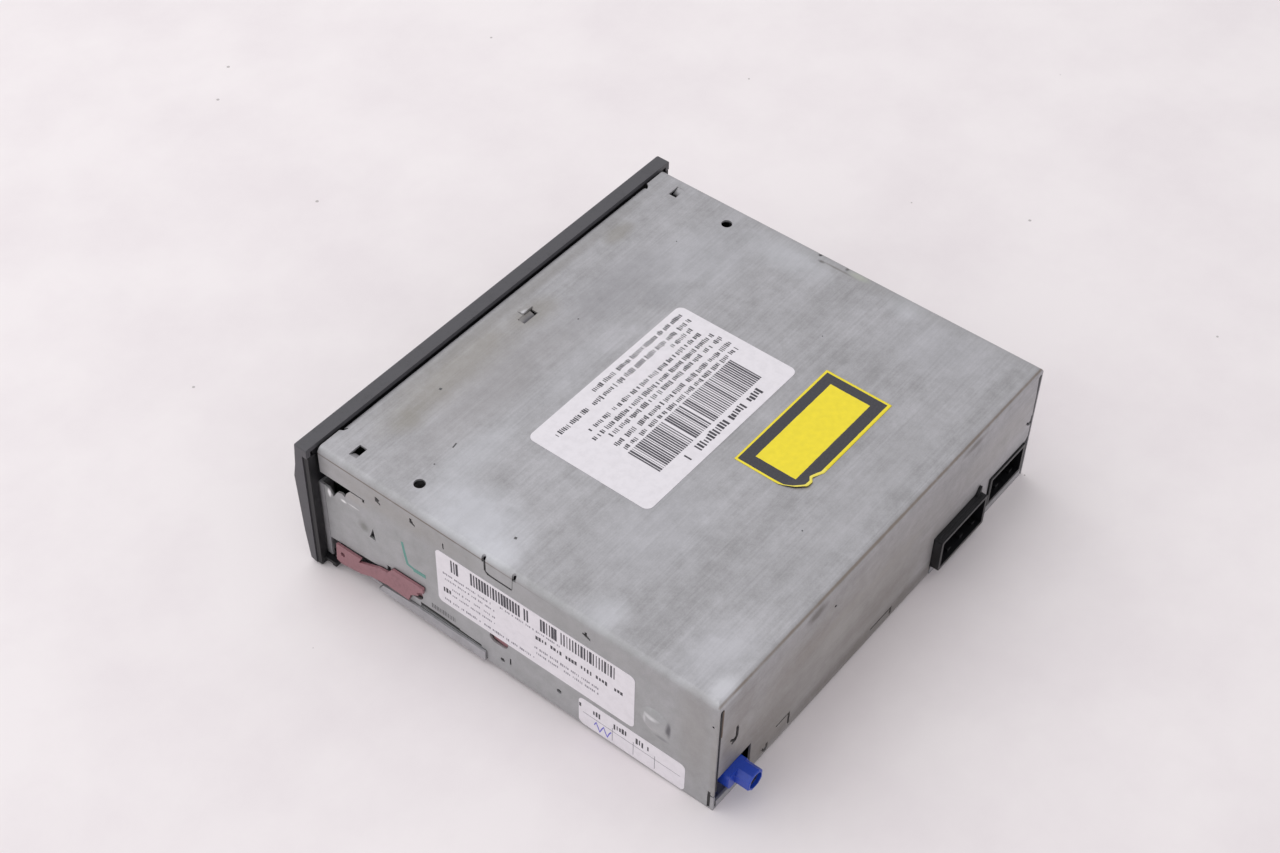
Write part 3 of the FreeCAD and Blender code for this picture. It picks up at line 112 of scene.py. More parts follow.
# Marks of handling and painted light: middle x, y, z, reach along each, strength and tint. Pale where the
# coat has bloomed, brown-grey where dirt has stuck, thin dark lines along the folds, and painted highlights
# and shade on small pressed features.
handlingMarksAndPaintedLight = [
    (80, 57, 52, 17, 26, 3, 0.60, "#CDCED4"), (87, 70, 52, 8, 14, 3, 0.45, "#D2D3D9"),
    (-80, 62, 52, 10, 22, 3, 0.45, "#C8C9CE"), (-86, 108, 52, 9, 10, 3, 0.40, "#C8C9CE"),
    (84, 112, 52, 10, 9, 3, 0.50, "#C8C9CE"), (60, 40, 52, 26, 9, 3, 0.35, "#C2C3C8"),
    (48, 104, 52, 30, 22, 3, 0.25, "#C2C2C8"), (76, 148, 52, 20, 14, 3, 0.35, "#C9C9CF"),
    (84, 157, 52, 8, 6, 3, 0.65, "#D3D3D8"), (-60, 40, 52, 30, 20, 3, 0.25, "#BFC0C6"),
    (-75, 130, 52, 20, 24, 3, 0.25, "#C4C4CA"), (10, 40, 52, 40, 7, 3, 0.20, "#BEBEC3"),
    (34, 10, 52, 46, 11, 3, 0.55, "#938E85"), (-3, 12, 52, 12, 8, 3, 0.40, "#8B867C"),
    (-52, 8, 52, 9, 5, 3, 0.50, "#8F8B82"), (62, 13, 52, 9, 7, 3, 0.50, "#8F8B82"),
    (30, 24, 52, 60, 14, 3, 0.45, "#9C999A"), (-30, 26, 52, 34, 14, 3, 0.45, "#959498"),
    (-36, 40, 52, 9, 6, 3, 0.30, "#8F8F93"), (0, 3, 52, 92, 3.4, 3, 0.50, "#8A8784"),
    (-10, 146, 52, 60, 10, 3, 0.20, "#A1A0A2"), (-88, 100, 52, 6, 70, 3, 0.30, "#9C9B9B"),
    # a painted highlight on the lug, painted shade on the tongues in the roof holes, and painted shade and
    # highlight that draw the pressed-in fold over the far tab
    (1.2, 8.9, 52.9, 3.0, 1.4, 0.7, 0.60, "#DEDEE2"), (-81.0, 9.9, 50.2, 4.5, 3.2, 1.9, 1.00, "#1A1A1B"),
    (1.2, 11.2, 50.9, 7.0, 3.4, 1.3, 0.80, "#6C6B71"), (-88.3, 70.0, 52, 1.1, 0.9, 2, 1.00, "#2C2B2C"),
    (-85.6, 72.2, 52, 0.9, 1.9, 1, 0.80, "#6B6968"), (-86.0, 79.0, 52, 0.7, 9.0, 1, 0.75, "#7F7C79"),
    (-88.0, 81.6, 52, 1.2, 1.0, 1, 0.80, "#5E5C5B"), (-87.4, 87.0, 52, 2.2, 5.5, 1, 0.60, "#B5B9AD"),
    # the near side, from its fold down: painted shade along the fold, painted glints on the front opening's
    # ragged edge, and a painted highlight and shaded crescent on the dome
    (90, 80, 25, 3, 170, 60, 0.22, "#A4AAA3"), (90, 34, 49.8, 1.2, 70, 0.5, 0.90, "#6E6359"),
    (90, 30, 45, 3, 44, 7, 0.35, "#A09B95"), (90, 17, 27.5, 3, 3, 3, 0.70, "#7B7C77"),
    (90, 100, 46, 3, 60, 5, 0.25, "#A7A6A6"), (90, 2.2, 33.2, 1, 1.0, 2.4, 1.00, "#F4F3F4"),
    (90, 8.6, 33.6, 1, 1.6, 0.8, 0.90, "#EDEDED"), (90, 13.0, 34.0, 1, 3.4, 0.5, 0.70, "#E2E2E2"),
    (90, 11, 38.5, 3, 12, 3, 0.35, "#A8A199"), (90, 137.4, 24.0, 3, 6.4, 6.4, 0.45, "#C4C6C5"),
    (90, 136.4, 28.4, 3, 3.6, 1.1, 0.90, "#E6E6E8"), (90, 133.8, 26.4, 3, 1.0, 2.8, 0.60, "#DADADC"),
    (90, 142.2, 25.6, 3, 1.1, 4.6, 0.85, "#6A696D"), (90, 139.6, 19.4, 3, 3.6, 1.0, 0.55, "#7F7F81"),
    (90, 152, 34, 3, 9, 30, 0.40, "#97938F"),
    # the rear, from its fold down
    (0, 159.5, 51.7, 200, 0.8, 0.8, 0.80, "#7C6F62"), (30, 160, 20, 110, 3, 40, 0.55, "#948F88"),
    (41, 160, 48, 7, 3, 3, 0.65, "#5E5954"), (-48, 160, 49, 9, 3, 2, 0.60, "#635E59"),
    (70, 160, 12, 26, 3, 16, 0.45, "#807A73"), (-70, 160, 34, 30, 3, 12, 0.35, "#A9A6A2"),
    (0, 160, 4, 90, 3, 5, 0.55, "#6F6963"), (20, 160, 32, 50, 3, 3, 0.35, "#A6A29D"),
    (46, 160, 34, 22, 3, 9, 0.25, "#8C857E"), (4, 160, 15, 28, 3, 7, 0.25, "#857F79"),
    (78, 160, 40, 9, 3, 12, 0.30, "#8A847E"), (84, 160, 24, 4, 3, 14, 0.35, "#77726C"),
    (26, 160, 24, 16, 3, 8, 0.30, "#B4B2AF"),
]


# Rolled steel with a dull zinc coat: faint lines along the rolling, soft bands, cloudy bloom, the given
# marks, and painted shade in slits and corners wherever ambient occlusion finds the surface enclosed. It
# scatters far more than it mirrors.
def zincSheet(name, marks):
    mat, tree, shader = newMaterial(name, Metallic=zinc["metallic"])
    place = addNode(tree, "ShaderNodeTexCoord").outputs["Object"]
    x, y, z = addNode(tree, "ShaderNodeSeparateXYZ", {0: place}).outputs
    normal = addNode(tree, "ShaderNodeNewGeometry").outputs["Normal"]
    faceX, faceY = addNode(tree, "ShaderNodeSeparateXYZ", {0: normal}).outputs[:2]
    sideways = addNode(tree, "ShaderNodeMath", {0: faceX}, operation="ABSOLUTE").outputs[0]
    rearward = addNode(tree, "ShaderNodeMath", {0: faceY}, operation="ABSOLUTE").outputs[0]
    across = addNode(tree, "ShaderNodeMath", {0: z, 1: rearward, 2: y}, operation="MULTIPLY_ADD").outputs[0]
    sheet = addNode(tree, "ShaderNodeCombineXYZ", {0: x, 1: across}).outputs[0]
    rolled = addNode(tree, "ShaderNodeMapping", {"Vector": sheet, "Scale": (zinc["rollStretch"], 1, 1)})
    amount = 0.0
    for layer, (width, share) in zinc["layers"].items():
        alongRolling = layer in ("streak", "band")
        fac = addNode(tree, "ShaderNodeTexNoise", {
            "Vector": rolled.outputs[0] if alongRolling else place, "Scale": 1 / (width * mm), "Detail": 5.0,
            "Roughness": 0.6}).outputs[0]
        if alongRolling:  # no rolling lines show on the sides
            fac = addNode(tree, "ShaderNodeMix", {0: sideways, 2: fac, 3: 0.5}).outputs[0]
        amount = addNode(tree, "ShaderNodeMath", {0: fac, 1: share, 2: amount},
                         operation="MULTIPLY_ADD").outputs[0]
    grain = fac
    base = addNode(tree, "ShaderNodeValToRGB", {0: amount}, [
        (zinc["darkAt"], colour(zinc["dark"])), (zinc["lightAt"], colour(zinc["light"]))]).outputs[0]
    if marks:
        breakUp = addNode(tree, "ShaderNodeTexNoise", {
            "Vector": place, "Scale": 1 / (zinc["raggedWidth"] * mm), "Detail": 8.0,
            "Roughness": 0.72}).outputs[0]
    for markX, markY, markZ, reachX, reachY, reachZ, strength, tint in marks:
        middle = at(markX, markY, markZ) / mm
        local = addNode(tree, "ShaderNodeMapping", {
            "Vector": place, "Scale": (1 / (reachX * mm), 1 / (reachY * mm), 1 / (reachZ * mm)),
            "Location": (-middle.x / reachX, -middle.y / reachY, -middle.z / reachZ)}).outputs[0]
        near = addNode(tree, "ShaderNodeTexGradient", {0: local}, gradient_type="SPHERICAL").outputs[1]
        ragged = addNode(tree, "ShaderNodeMath", {0: near, 1: breakUp}, operation="MULTIPLY").outputs[0]
        mask = addNode(tree, "ShaderNodeMapRange", {"Value": ragged, "From Max": zinc["markFull"],
                                                    "To Max": strength}).outputs[0]
        base = addNode(tree, "ShaderNodeMix", {0: mask, 6: base, 7: colour(tint)},
                       data_type="RGBA").outputs[2]
    # painted shade: the colour darkens in slits and corners where ambient occlusion finds the surface
    # enclosed
    openness = addNode(tree, "ShaderNodeAmbientOcclusion", {"Distance": zinc["creviceShadeReach"] * mm}, samples=8)
    shadeMask = addNode(tree, "ShaderNodeMapRange", {
        "Value": openness.outputs["AO"], "From Min": zinc["creviceShadeFrom"],
        "From Max": zinc["creviceShadeFull"]}).outputs[0]
    base = addNode(tree, "ShaderNodeMix", {0: shadeMask, 6: base, 7: colour(zinc["creviceShade"])}, data_type="RGBA")
    tree.links.new(base.outputs[2], shader.inputs["Base Color"])
    rough = addNode(tree, "ShaderNodeMapRange", {"Value": amount, "From Min": 0.38, "From Max": 0.62,
                                                 "To Min": zinc["roughHigh"], "To Max": zinc["roughLow"]})
    tree.links.new(rough.outputs[0], shader.inputs["Roughness"])
    relief = addNode(tree, "ShaderNodeBump", {
        "Height": grain, "Strength": 0.12, "Distance": zinc["relief"] * mm})
    tree.links.new(relief.outputs[0], shader.inputs["Normal"])
    return mat


# Injection-moulded plastic: an even colour with a spark-eroded grain and some dust in it.
# Grain width and depth in mm, change as the share by which the colour varies.
def mouldedPlastic(name, code, roughness, grainWidth=0.6, depth=0.03, change=0.12):
    mat, tree, shader = newMaterial(name, Roughness=roughness)
    place = addNode(tree, "ShaderNodeTexCoord").outputs["Object"]
    grain = addNode(tree, "ShaderNodeTexNoise", {
        "Vector": place, "Scale": 1 / (grainWidth * mm), "Detail": 3.0, "Roughness": 0.6}).outputs[0]
    dust = addNode(tree, "ShaderNodeTexNoise", {
        "Vector": place, "Scale": 0.15 / (grainWidth * mm), "Detail": 6.0, "Roughness": 0.7}).outputs[0]
    both = addNode(tree, "ShaderNodeMath", {0: grain, 1: dust}, operation="ADD").outputs[0]
    base = addNode(tree, "ShaderNodeValToRGB", {0: both}, [(0.7, colour(code, 1 - change)),
                                                           (1.0, colour(code, 1 + change))]).outputs[0]
    tree.links.new(base, shader.inputs["Base Color"])
    relief = addNode(tree, "ShaderNodeBump", {"Height": grain, "Strength": 0.3, "Distance": depth * mm})
    tree.links.new(relief.outputs[0], shader.inputs["Normal"])
    return mat


# Matte coated label stock: nearly white, with faint fibre and some handling grey
paper = {"code": "#E6E2E7", "roughness": 0.5, "fibreWidth": 3.33, "relief": 0.02}


def coatedPaper(name):
    mat, tree, shader = newMaterial(name, Roughness=paper["roughness"])
    place = addNode(tree, "ShaderNodeTexCoord").outputs["Object"]
    fibre = addNode(tree, "ShaderNodeTexNoise", {
        "Vector": place, "Scale": 1 / (paper["fibreWidth"] * mm), "Detail": 6.0, "Roughness": 0.7}).outputs[0]
    base = addNode(tree, "ShaderNodeValToRGB", {0: fibre}, [(0.34, colour(paper["code"], 0.93)),
                                                            (0.56, colour(paper["code"]))])
    tree.links.new(base.outputs[0], shader.inputs["Base Color"])
    relief = addNode(tree, "ShaderNodeBump", {
        "Height": fibre, "Strength": 0.1, "Distance": paper["relief"] * mm})
    tree.links.new(relief.outputs[0], shader.inputs["Normal"])
    return mat


# Thermal print, paint, marker, grime or painted shade: matte, thinner in patches of about a millimetre
inkPatch = 1.11


def printInk(name, code, gain=1.5):
    mat, tree, shader = newMaterial(name, Roughness=0.6)
    place = addNode(tree, "ShaderNodeTexCoord").outputs["Object"]
    patchy = addNode(tree, "ShaderNodeTexNoise", {
        "Vector": place, "Scale": 1 / (inkPatch * mm), "Detail": 4.0, "Roughness": 0.7}).outputs[0]
    base = addNode(tree, "ShaderNodeValToRGB", {0: patchy}, [(0.35, colour(code)), (0.7, colour(code, gain))])
    tree.links.new(base.outputs[0], shader.inputs["Base Color"])
    return mat


# Turned, drawn or plated metal: fine tool marks in its gloss, wider than real ones so that they show
def brightMetal(name, code, roughness, markWidth=0.5):
    mat, tree, shader = newMaterial(name, Metallic=1.0)
    place = addNode(tree, "ShaderNodeTexCoord").outputs["Object"]
    drawn = addNode(tree, "ShaderNodeMapping", {"Vector": place, "Scale": (0.2, 1, 1)}).outputs[0]
    lines = addNode(tree, "ShaderNodeTexNoise", {
        "Vector": drawn, "Scale": 1 / (markWidth * mm), "Detail": 3.0, "Roughness": 0.6}).outputs[0]
    base = addNode(tree, "ShaderNodeValToRGB", {0: lines}, [(0.3, colour(code, 0.8)), (0.7, colour(code))])
    tree.links.new(base.outputs[0], shader.inputs["Base Color"])
    rough = addNode(tree, "ShaderNodeMapRange", {"Value": lines, "To Min": roughness * 0.8,
                                                 "To Max": roughness * 1.3})
    tree.links.new(rough.outputs[0], shader.inputs["Roughness"])
    return mat


# Printed polyester film: strong yellow with a worn dark frame whose edge wanders a little, glossy
yellowPrint = {  # frame edges as first x, first y, last x, last y
    "code": "#F5E12C", "frame": "#3A393F", "outer": (-41.7, 105.4, 8.3, 129.4),
    "inner": (-37.9, 109.4, 4.0, 125.1), "ragged": 0.2, "wobbleWidth": 2.0, "wearWidth": 0.714,
    "roughness": 0.28, "relief": 0.02,
}


def printedFilm(name):
    mat, tree, shader = newMaterial(name, Roughness=yellowPrint["roughness"])
    place = addNode(tree, "ShaderNodeTexCoord").outputs["Object"]
    wobble = addNode(tree, "ShaderNodeTexNoise", {
        "Vector": place, "Scale": 1 / (yellowPrint["wobbleWidth"] * mm), "Detail": 2.0}).outputs[0]
    worn = addNode(tree, "ShaderNodeTexNoise", {
        "Vector": place, "Scale": 1 / (yellowPrint["wearWidth"] * mm), "Detail": 4.0,
        "Roughness": 0.7}).outputs[0]
    x, y = addNode(tree, "ShaderNodeSeparateXYZ", {0: place}).outputs[:2]
    inside = []
    for key in ("outer", "inner"):
        x0, y0, x1, y1 = yellowPrint[key]
        low, high = at(x0, y0, 0), at(x1, y1, 0)
        gaps = []  # how far inside the rectangle, in m
        for axis, a, b in ((x, low.x, high.x), (y, low.y, high.y)):
            offset = addNode(tree, "ShaderNodeMath", {0: axis, 1: (a + b) / 2}, operation="SUBTRACT")
            offset = addNode(tree, "ShaderNodeMath", {0: offset.outputs[0]}, operation="ABSOLUTE")
            gap = addNode(tree, "ShaderNodeMath", {0: (b - a) / 2, 1: offset.outputs[0]},
                          operation="SUBTRACT")
            gaps.append(gap.outputs[0])
        depth = addNode(tree, "ShaderNodeMath", {0: gaps[0], 1: gaps[1]}, operation="MINIMUM").outputs[0]
        shifted = addNode(tree, "ShaderNodeMath", {0: wobble, 1: yellowPrint["ragged"] * mm, 2: depth},
                          operation="MULTIPLY_ADD").outputs[0]
        inside.append(addNode(tree, "ShaderNodeMath", {0: shifted, 1: yellowPrint["ragged"] * mm / 2},
                              operation="GREATER_THAN").outputs[0])
    band = addNode(tree, "ShaderNodeMath", {0: inside[0], 1: inside[1]}, operation="SUBTRACT").outputs[0]
    film = addNode(tree, "ShaderNodeValToRGB", {0: wobble}, [
        (0.3, colour(yellowPrint["code"], 0.93)), (0.7, colour(yellowPrint["code"]))]).outputs[0]
    dark = addNode(tree, "ShaderNodeValToRGB", {0: worn}, [
        (0.35, colour(yellowPrint["frame"], 0.8)), (0.75, colour(yellowPrint["frame"], 1.35))]).outputs[0]
    base = addNode(tree, "ShaderNodeMix", {0: band, 6: film, 7: dark}, data_type="RGBA").outputs[2]
    tree.links.new(base, shader.inputs["Base Color"])
    relief = addNode(tree, "ShaderNodeBump", {"Height": worn, "Strength": 0.08,
                                              "Distance": yellowPrint["relief"] * mm})
    tree.links.new(relief.outputs[0], shader.inputs["Normal"])
    return mat


lidZinc = zincSheet("zincSheetLid", handlingMarksAndPaintedLight)  # zinc-plated sheet, handled: blooms, smears, painted highlights and shade on small features, painted shade in crevices
trayZinc = zincSheet("zincSheetTray", [])  # the same sheet, clean, with painted shade in its crevices
bezelPlastic = mouldedPlastic("bezelAbs", "#48474B", 0.5)  # ABS, fine spark grain: soft dull sheen
carrierPlastic = mouldedPlastic("carrierNylon", "#131316", 0.55)  # glass-filled nylon: near black, dry
buttonPlastic = mouldedPlastic("buttonAbs", "#2B2B2E", 0.42)  # ABS, smoother than the bezel
leverPlastic = mouldedPlastic("leverAcetal", "#8C6268", 0.45, 1.4, 0.03, 0.14)  # acetal: waxy, dusty pink
bluePlastic = mouldedPlastic("coaxPbt", "#1C3FA8", 0.28, 1.0, 0.015, 0.10)  # PBT, smooth: clear highlights
socketPlastic = mouldedPlastic("socketNylon", "#0D0D10", 0.36, 0.7, 0.02, 0.3)  # glass-filled nylon: satin
whiteNylon = mouldedPlastic("gearNylon", "#E4E1D6", 0.4)  # natural nylon: milky white, satin
boardMask = mouldedPlastic("boardSolderMask", "#12281C", 0.35, 1.2, 0.01, 0.2)  # green mask on laminate
rubberCompound = mouldedPlastic("damperRubber", "#232325", 0.75)  # moulded rubber: matte, never shiny
feltPile = mouldedPlastic("slotPile", "#1A1A1C", 0.95, 0.3, 0.08, 0.5)  # short pile: swallows light
cableFilm = mouldedPlastic("cableFilm", "#DAD8CC", 0.25)  # polyester flat cable: pale, glossy
windingEnamel = mouldedPlastic("windingEnamel", "#8A4A2A", 0.3, 0.4, 0.05, 0.3)  # enamelled copper wire
lampAcrylic = mouldedPlastic("lampAcrylic", "#A03A30", 0.1)  # clear red acrylic, unlit: wet gloss
filmRim = mouldedPlastic("filmRim", "#EADB5A", 0.28, 0.5, 0.01, 0.08)  # unprinted edge of the yellow film
yellowFilm = printedFilm("yellowFilm")
labelPaper = coatedPaper("labelPaper")
labelInk = printInk("labelInk", "#39373D")  # thermal black
barInk = printInk("barInk", "#3F3D44")  # the same, a little spread
faintInk = printInk("faintInk", "#77747C")  # letters too fine to print black
penInk = printInk("penInk", "#5A55B8")  # violet-blue marker
tickPaint = printInk("tickPaint", "#5F8F86", 1.2)  # thin green marking paint
scratchDark = printInk("scratchDirt", "#4A494B", 1.3)  # dirt in scratches and pits
gapPaintedShade = printInk("gapPaintedShade", "#171617", 1.4)  # painted shade in the sheet's cuts: dark strokes laid over slits, holes and seams
rustGrime = printInk("rustGrime", "#5A4A3C", 1.3)  # rust-stained dirt
nickelPlate = brightMetal("nickelPlate", "#C9C8C4", 0.28)  # nickel on steel: bright, slightly warm
drawnAluminium = brightMetal("drawnAluminium", "#B9BBBE", 0.38)  # drawn aluminium: silvery, softer
goldFlash = brightMetal("goldFlash", "#D9B777", 0.28)  # gold flash on bronze pins: pale yellow

finishes = {
    lidZinc: ["top_cover"],
    trayZinc: ["bottom_tray", "front_frame", "deck_bracket_right", "deck_bracket_left", "deck_plate",
               "deck_sides", "clamp_arm", "shield_can"],
    bezelPlastic: ["fascia"],
    carrierPlastic: ["fascia_carrier", "switch_and_led", "cable_socket", "board_chips", "upper_guide",
                     "load_motor", "lens_holder"],
    socketPlastic: ["wide_connector", "narrow_connector"],
    buttonPlastic: ["eject_button"],
    feltPile: ["slot_felts"],
    lampAcrylic: ["indicator_lens"],
    boardMask: ["main_board", "front_board", "deck_board"],
    labelPaper: ["top_label", "side_label", "test_sticker"],
    yellowFilm: ["yellow_label"],
    leverPlastic: ["side_lever"],
    bluePlastic: ["coax_housing"],
    goldFlash: ["connector_pins", "coax_contact"],
    nickelPlate: ["coax_shield", "case_screws", "clamp_hinge_pin", "guide_rods", "lead_screw", "gear_post",
                  "roller_shaft", "spindle_rotor", "sled_motor", "deck_springs"],
    drawnAluminium: ["heatsink", "capacitors", "sled"],
    whiteNylon: ["roller_frame", "roller_bushes", "rod_holders", "roller_gear", "idler_gear", "motor_pinion",
                 "clamp_puck", "turntable"],
    rubberCompound: ["dampers", "roller_rubbers", "turntable_pad"],
    windingEnamel: ["spindle_stator"],
    cableFilm: ["flat_cable"],
}
for mat, names in finishes.items():
    for name in names:
        nodes[name].data.materials.clear()
        nodes[name].data.materials.append(mat)
print("finishes set on", sum(len(names) for names in finishes.values()), "nodes")


# Printed marks: rows of plain bars and dashes on the labels

inkHeight = 0.02


# A row of upright blocks of random width and height, set a little up or down, with word gaps
def marksTree():
    tree = bpy.data.node_groups.new("printedMarks", "GeometryNodeTree")
    for socket, kind in (("Count", "Int"), ("Pitch", "Float"), ("Narrow", "Float"), ("Wide", "Float"),
                         ("Short", "Float"), ("Tall", "Float"), ("Thick", "Float"), ("Wander", "Float"),
                         ("Word", "Int"), ("Keep", "Float"), ("Seed", "Int"), ("Ink", "Material")):
        tree.interface.new_socket(name=socket, in_out="INPUT", socket_type="NodeSocket" + kind)
    tree.interface.new_socket(name="Geometry", in_out="OUTPUT", socket_type="NodeSocketGeometry")
    given = addNode(tree, "NodeGroupInput").outputs
    step = addNode(tree, "ShaderNodeCombineXYZ", {"X": given["Pitch"]}).outputs[0]
    line = addNode(tree, "GeometryNodeMeshLine", {"Count": given["Count"], "Offset": step}, mode="OFFSET")
    low = addNode(tree, "ShaderNodeMath", {0: given["Wander"], 1: -1.0}, operation="MULTIPLY").outputs[0]
    random = {}
    drawn = (("wide", given["Narrow"], given["Wide"]), ("tall", given["Short"], given["Tall"]),
             ("shift", low, given["Wander"]))
    for i, (key, a, b) in enumerate(drawn):  # each its own draw from the one seed
        seed = addNode(tree, "ShaderNodeMath", {0: given["Seed"], 1: 7.0 * i}, operation="ADD").outputs[0]
        pick = addNode(tree, "FunctionNodeRandomValue", {"Seed": seed}, data_type="FLOAT")
        ends = [s for s in pick.inputs if s.enabled and s.name in ("Min", "Max")]
        tree.links.new(a, ends[0])
        tree.links.new(b, ends[1])
        random[key] = next(s for s in pick.outputs if s.enabled)
    keep = addNode(tree, "FunctionNodeRandomValue", {"Seed": given["Seed"], "Probability": given["Keep"]},
                   data_type="BOOLEAN")
    kept = next(s for s in keep.outputs if s.enabled)
    index = addNode(tree, "GeometryNodeInputIndex").outputs[0]
    offset = addNode(tree, "ShaderNodeMath", {0: index, 1: given["Seed"]}, operation="ADD").outputs[0]
    place = addNode(tree, "ShaderNodeMath", {0: offset, 1: given["Word"]}, operation="MODULO").outputs[0]
    inWord = addNode(tree, "FunctionNodeCompare", {0: place, 1: 0.5}, data_type="FLOAT",
                     operation="GREATER_THAN").outputs[0]  # the first place of each word is a space
    shown = addNode(tree, "FunctionNodeBooleanMath", {0: kept, 1: inWord}, operation="AND").outputs[0]
    move = addNode(tree, "ShaderNodeCombineXYZ", {"Y": random["shift"]}).outputs[0]
    moved = addNode(tree, "GeometryNodeSetPosition", {"Geometry": line.outputs[0], "Offset": move}).outputs[0]
    size = addNode(tree, "ShaderNodeCombineXYZ", {"X": random["wide"], "Y": random["tall"],
                                                  "Z": given["Thick"]}).outputs[0]
    block = addNode(tree, "GeometryNodeMeshCube").outputs[0]
    row = addNode(tree, "GeometryNodeInstanceOnPoints", {
        "Points": moved, "Selection": shown, "Instance": block, "Scale": size}).outputs[0]
    real = addNode(tree, "GeometryNodeRealizeInstances", {0: row}).outputs[0]
    inked = addNode(tree, "GeometryNodeSetMaterial", {"Geometry": real, "Material": given["Ink"]}).outputs[0]
    addNode(tree, "NodeGroupOutput", {0: inked})
    return tree


marks = marksTree()


# What a tree makes from these values, as a plain mesh: by default one row of marks that starts at
# the origin and runs along X
def rowMesh(place, values, tree=marks, spots=()):
    points = bpy.data.meshes.new("holder")
    points.from_pydata([at(*spot) for spot in spots], [], [])
    holder = bpy.data.objects.new("holder", points)
    scene.collection.objects.link(holder)
    modifier = holder.modifiers.new("made", "NODES")
    modifier.node_group = tree
    for item in tree.interface.items_tree:
        if item.in_out == "INPUT" and item.name in values:
            modifier[item.identifier] = values[item.name]
    mesh = bpy.data.meshes.new_from_object(holder.evaluated_get(bpy.context.evaluated_depsgraph_get()))
    bpy.data.objects.remove(holder)
    mesh.transform(place)
    return mesh


# One piece from several meshes that are already in place
def joined(name, meshes, body):
    build = bmesh.new()
    inks = []
    for mesh in meshes:
        start = len(build.faces)
        build.from_mesh(mesh)
        build.faces.ensure_lookup_table()
        for face in build.faces[start:]:
            ink = mesh.materials[face.material_index]
            if ink not in inks:
                inks.append(ink)
            face.material_index = inks.index(ink)
    whole = bpy.data.meshes.new(name)
    build.to_mesh(whole)
    build.free()
    for ink in inks:
        whole.materials.append(ink)
    piece = bpy.data.objects.new(name, whole)
    scene.collection.objects.link(piece)
    if body:  # a piece that bends between two bodies rides on neither
        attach(piece, body)
    return piece


# Turns that lay a drawing's u and v along the right side (y, z) and along the rear (-x, z)
sideTurn = Matrix(((0, 0, 1, 0), (1, 0, 0, 0), (0, 1, 0, 0), (0, 0, 0, 1)))
rearTurn = Matrix(((-1, 0, 0, 0), (0, 0, 1, 0), (0, 1, 0, 0), (0, 0, 0, 1)))


# The print plane of a label: u along the rows, v up the letters, w out of the label
def onLid(x, y, level=lidPrint):
    return Matrix.Translation(at(x, y, level + inkHeight / 2))


def onSide(y, z, level=sidePrint):
    return Matrix.Translation(at(level + inkHeight / 2, y, z)) @ sideTurn


# Shares of a row's pitch and letter height
letters = {"narrow": 0.35, "wide": 0.8, "short": 0.6, "wander": 0.08, "keep": 0.93}
bars = {"narrow": 0.25, "keep": 0.94}
noSpaces = 999


def textRow(place, length, height, ink, seed, pitch=0.8, word=9):
    return rowMesh(place, {
        "Count": int(length / pitch), "Pitch": pitch * mm, "Narrow": letters["narrow"] * pitch * mm,
        "Wide": letters["wide"] * pitch * mm, "Short": letters["short"] * height * mm, "Tall": height * mm,
        "Thick": inkHeight * mm, "Wander": letters["wander"] * height * mm, "Word": word,
        "Keep": letters["keep"], "Seed": seed, "Ink": ink})


def barRow(place, length, height, ink, seed, pitch, wide):
    return rowMesh(place, {
        "Count": int(length / pitch), "Pitch": pitch * mm, "Narrow": bars["narrow"] * wide * mm,
        "Wide": wide * mm, "Short": height * mm, "Tall": height * mm, "Thick": inkHeight * mm, "Wander": 0.0,
        "Word": noSpaces, "Keep": bars["keep"], "Seed": seed, "Ink": ink})


# A flat line of even width through points on a print plane, as a thin closed prism
def stroke(place, points, width, ink):
    build = bmesh.new()
    count = len(points)
    sides = []
    for i, point in enumerate(points):
        here = Vector(point)
        back = (here - Vector(points[i - 1])).normalized() if i else None
        ahead = (Vector(points[i + 1]) - here).normalized() if i < count - 1 else None
        way = ((back or ahead) + (ahead or back)).normalized()
        reach = width / 2 / max(0.5, way.dot(ahead or back))
        across = Vector((-way.y, way.x)) * reach
        edge = [here + side * across for side in (1, -1)]
        sides.append([build.verts.new((end.x * mm, end.y * mm, level * mm))
                      for level in (-inkHeight / 2, inkHeight / 2) for end in edge])
    for a, b in zip(sides, sides[1:]):
        for j, k in ((0, 1), (1, 3), (3, 2), (2, 0)):
            build.faces.new((a[j], a[k], b[k], b[j]))
    build.faces.new((sides[0][0], sides[0][2], sides[0][3], sides[0][1]))
    build.faces.new((sides[-1][0], sides[-1][1], sides[-1][3], sides[-1][2]))
    bmesh.ops.recalc_face_normals(build, faces=build.faces)
    mesh = bpy.data.meshes.new("stroke")
    build.to_mesh(mesh)
    build.free()
    mesh.materials.append(ink)
    mesh.transform(place)
    return mesh


topPrint = {  # rows: first x, last x, y, letter height
    "rows": [(-32.3, 15.3, 50.9, 2.0), (-32.3, 38.9, 54.7, 2.2), (-29.0, -17.6, 58.0, 2.0),
             (-29.0, 30.0, 61.4, 2.0), (-32.3, 32.4, 64.9, 2.1), (-32.3, 29.1, 68.0, 2.1),
             (-32.3, 29.6, 71.9, 2.1), (-32.3, 28.6, 75.1, 2.0)],
    "words": (9, 7, 8, 6), "rowSeed": 11,
    "bars": (-25.7, 30.3, 83.4, 13.0), "barPitch": 0.95, "barWide": 0.78, "barSeed": 5,
    "codes": [(-20.4, -13.6), (-11.5, 15.4), (18.2, 20.3)], "codeY": 93.0, "codeHeight": 3.2,
    "codePitch": 1.35, "codeSeed": 40,
}
meshes = [textRow(onLid(x0, y), x1 - x0, height, labelInk, topPrint["rowSeed"] + i,
                  word=topPrint["words"][i % 4]) for i, (x0, x1, y, height) in enumerate(topPrint["rows"])]
x0, x1, y, height = topPrint["bars"]
meshes.append(barRow(onLid(x0, y), x1 - x0, height, barInk, topPrint["barSeed"], topPrint["barPitch"],
                     topPrint["barWide"]))
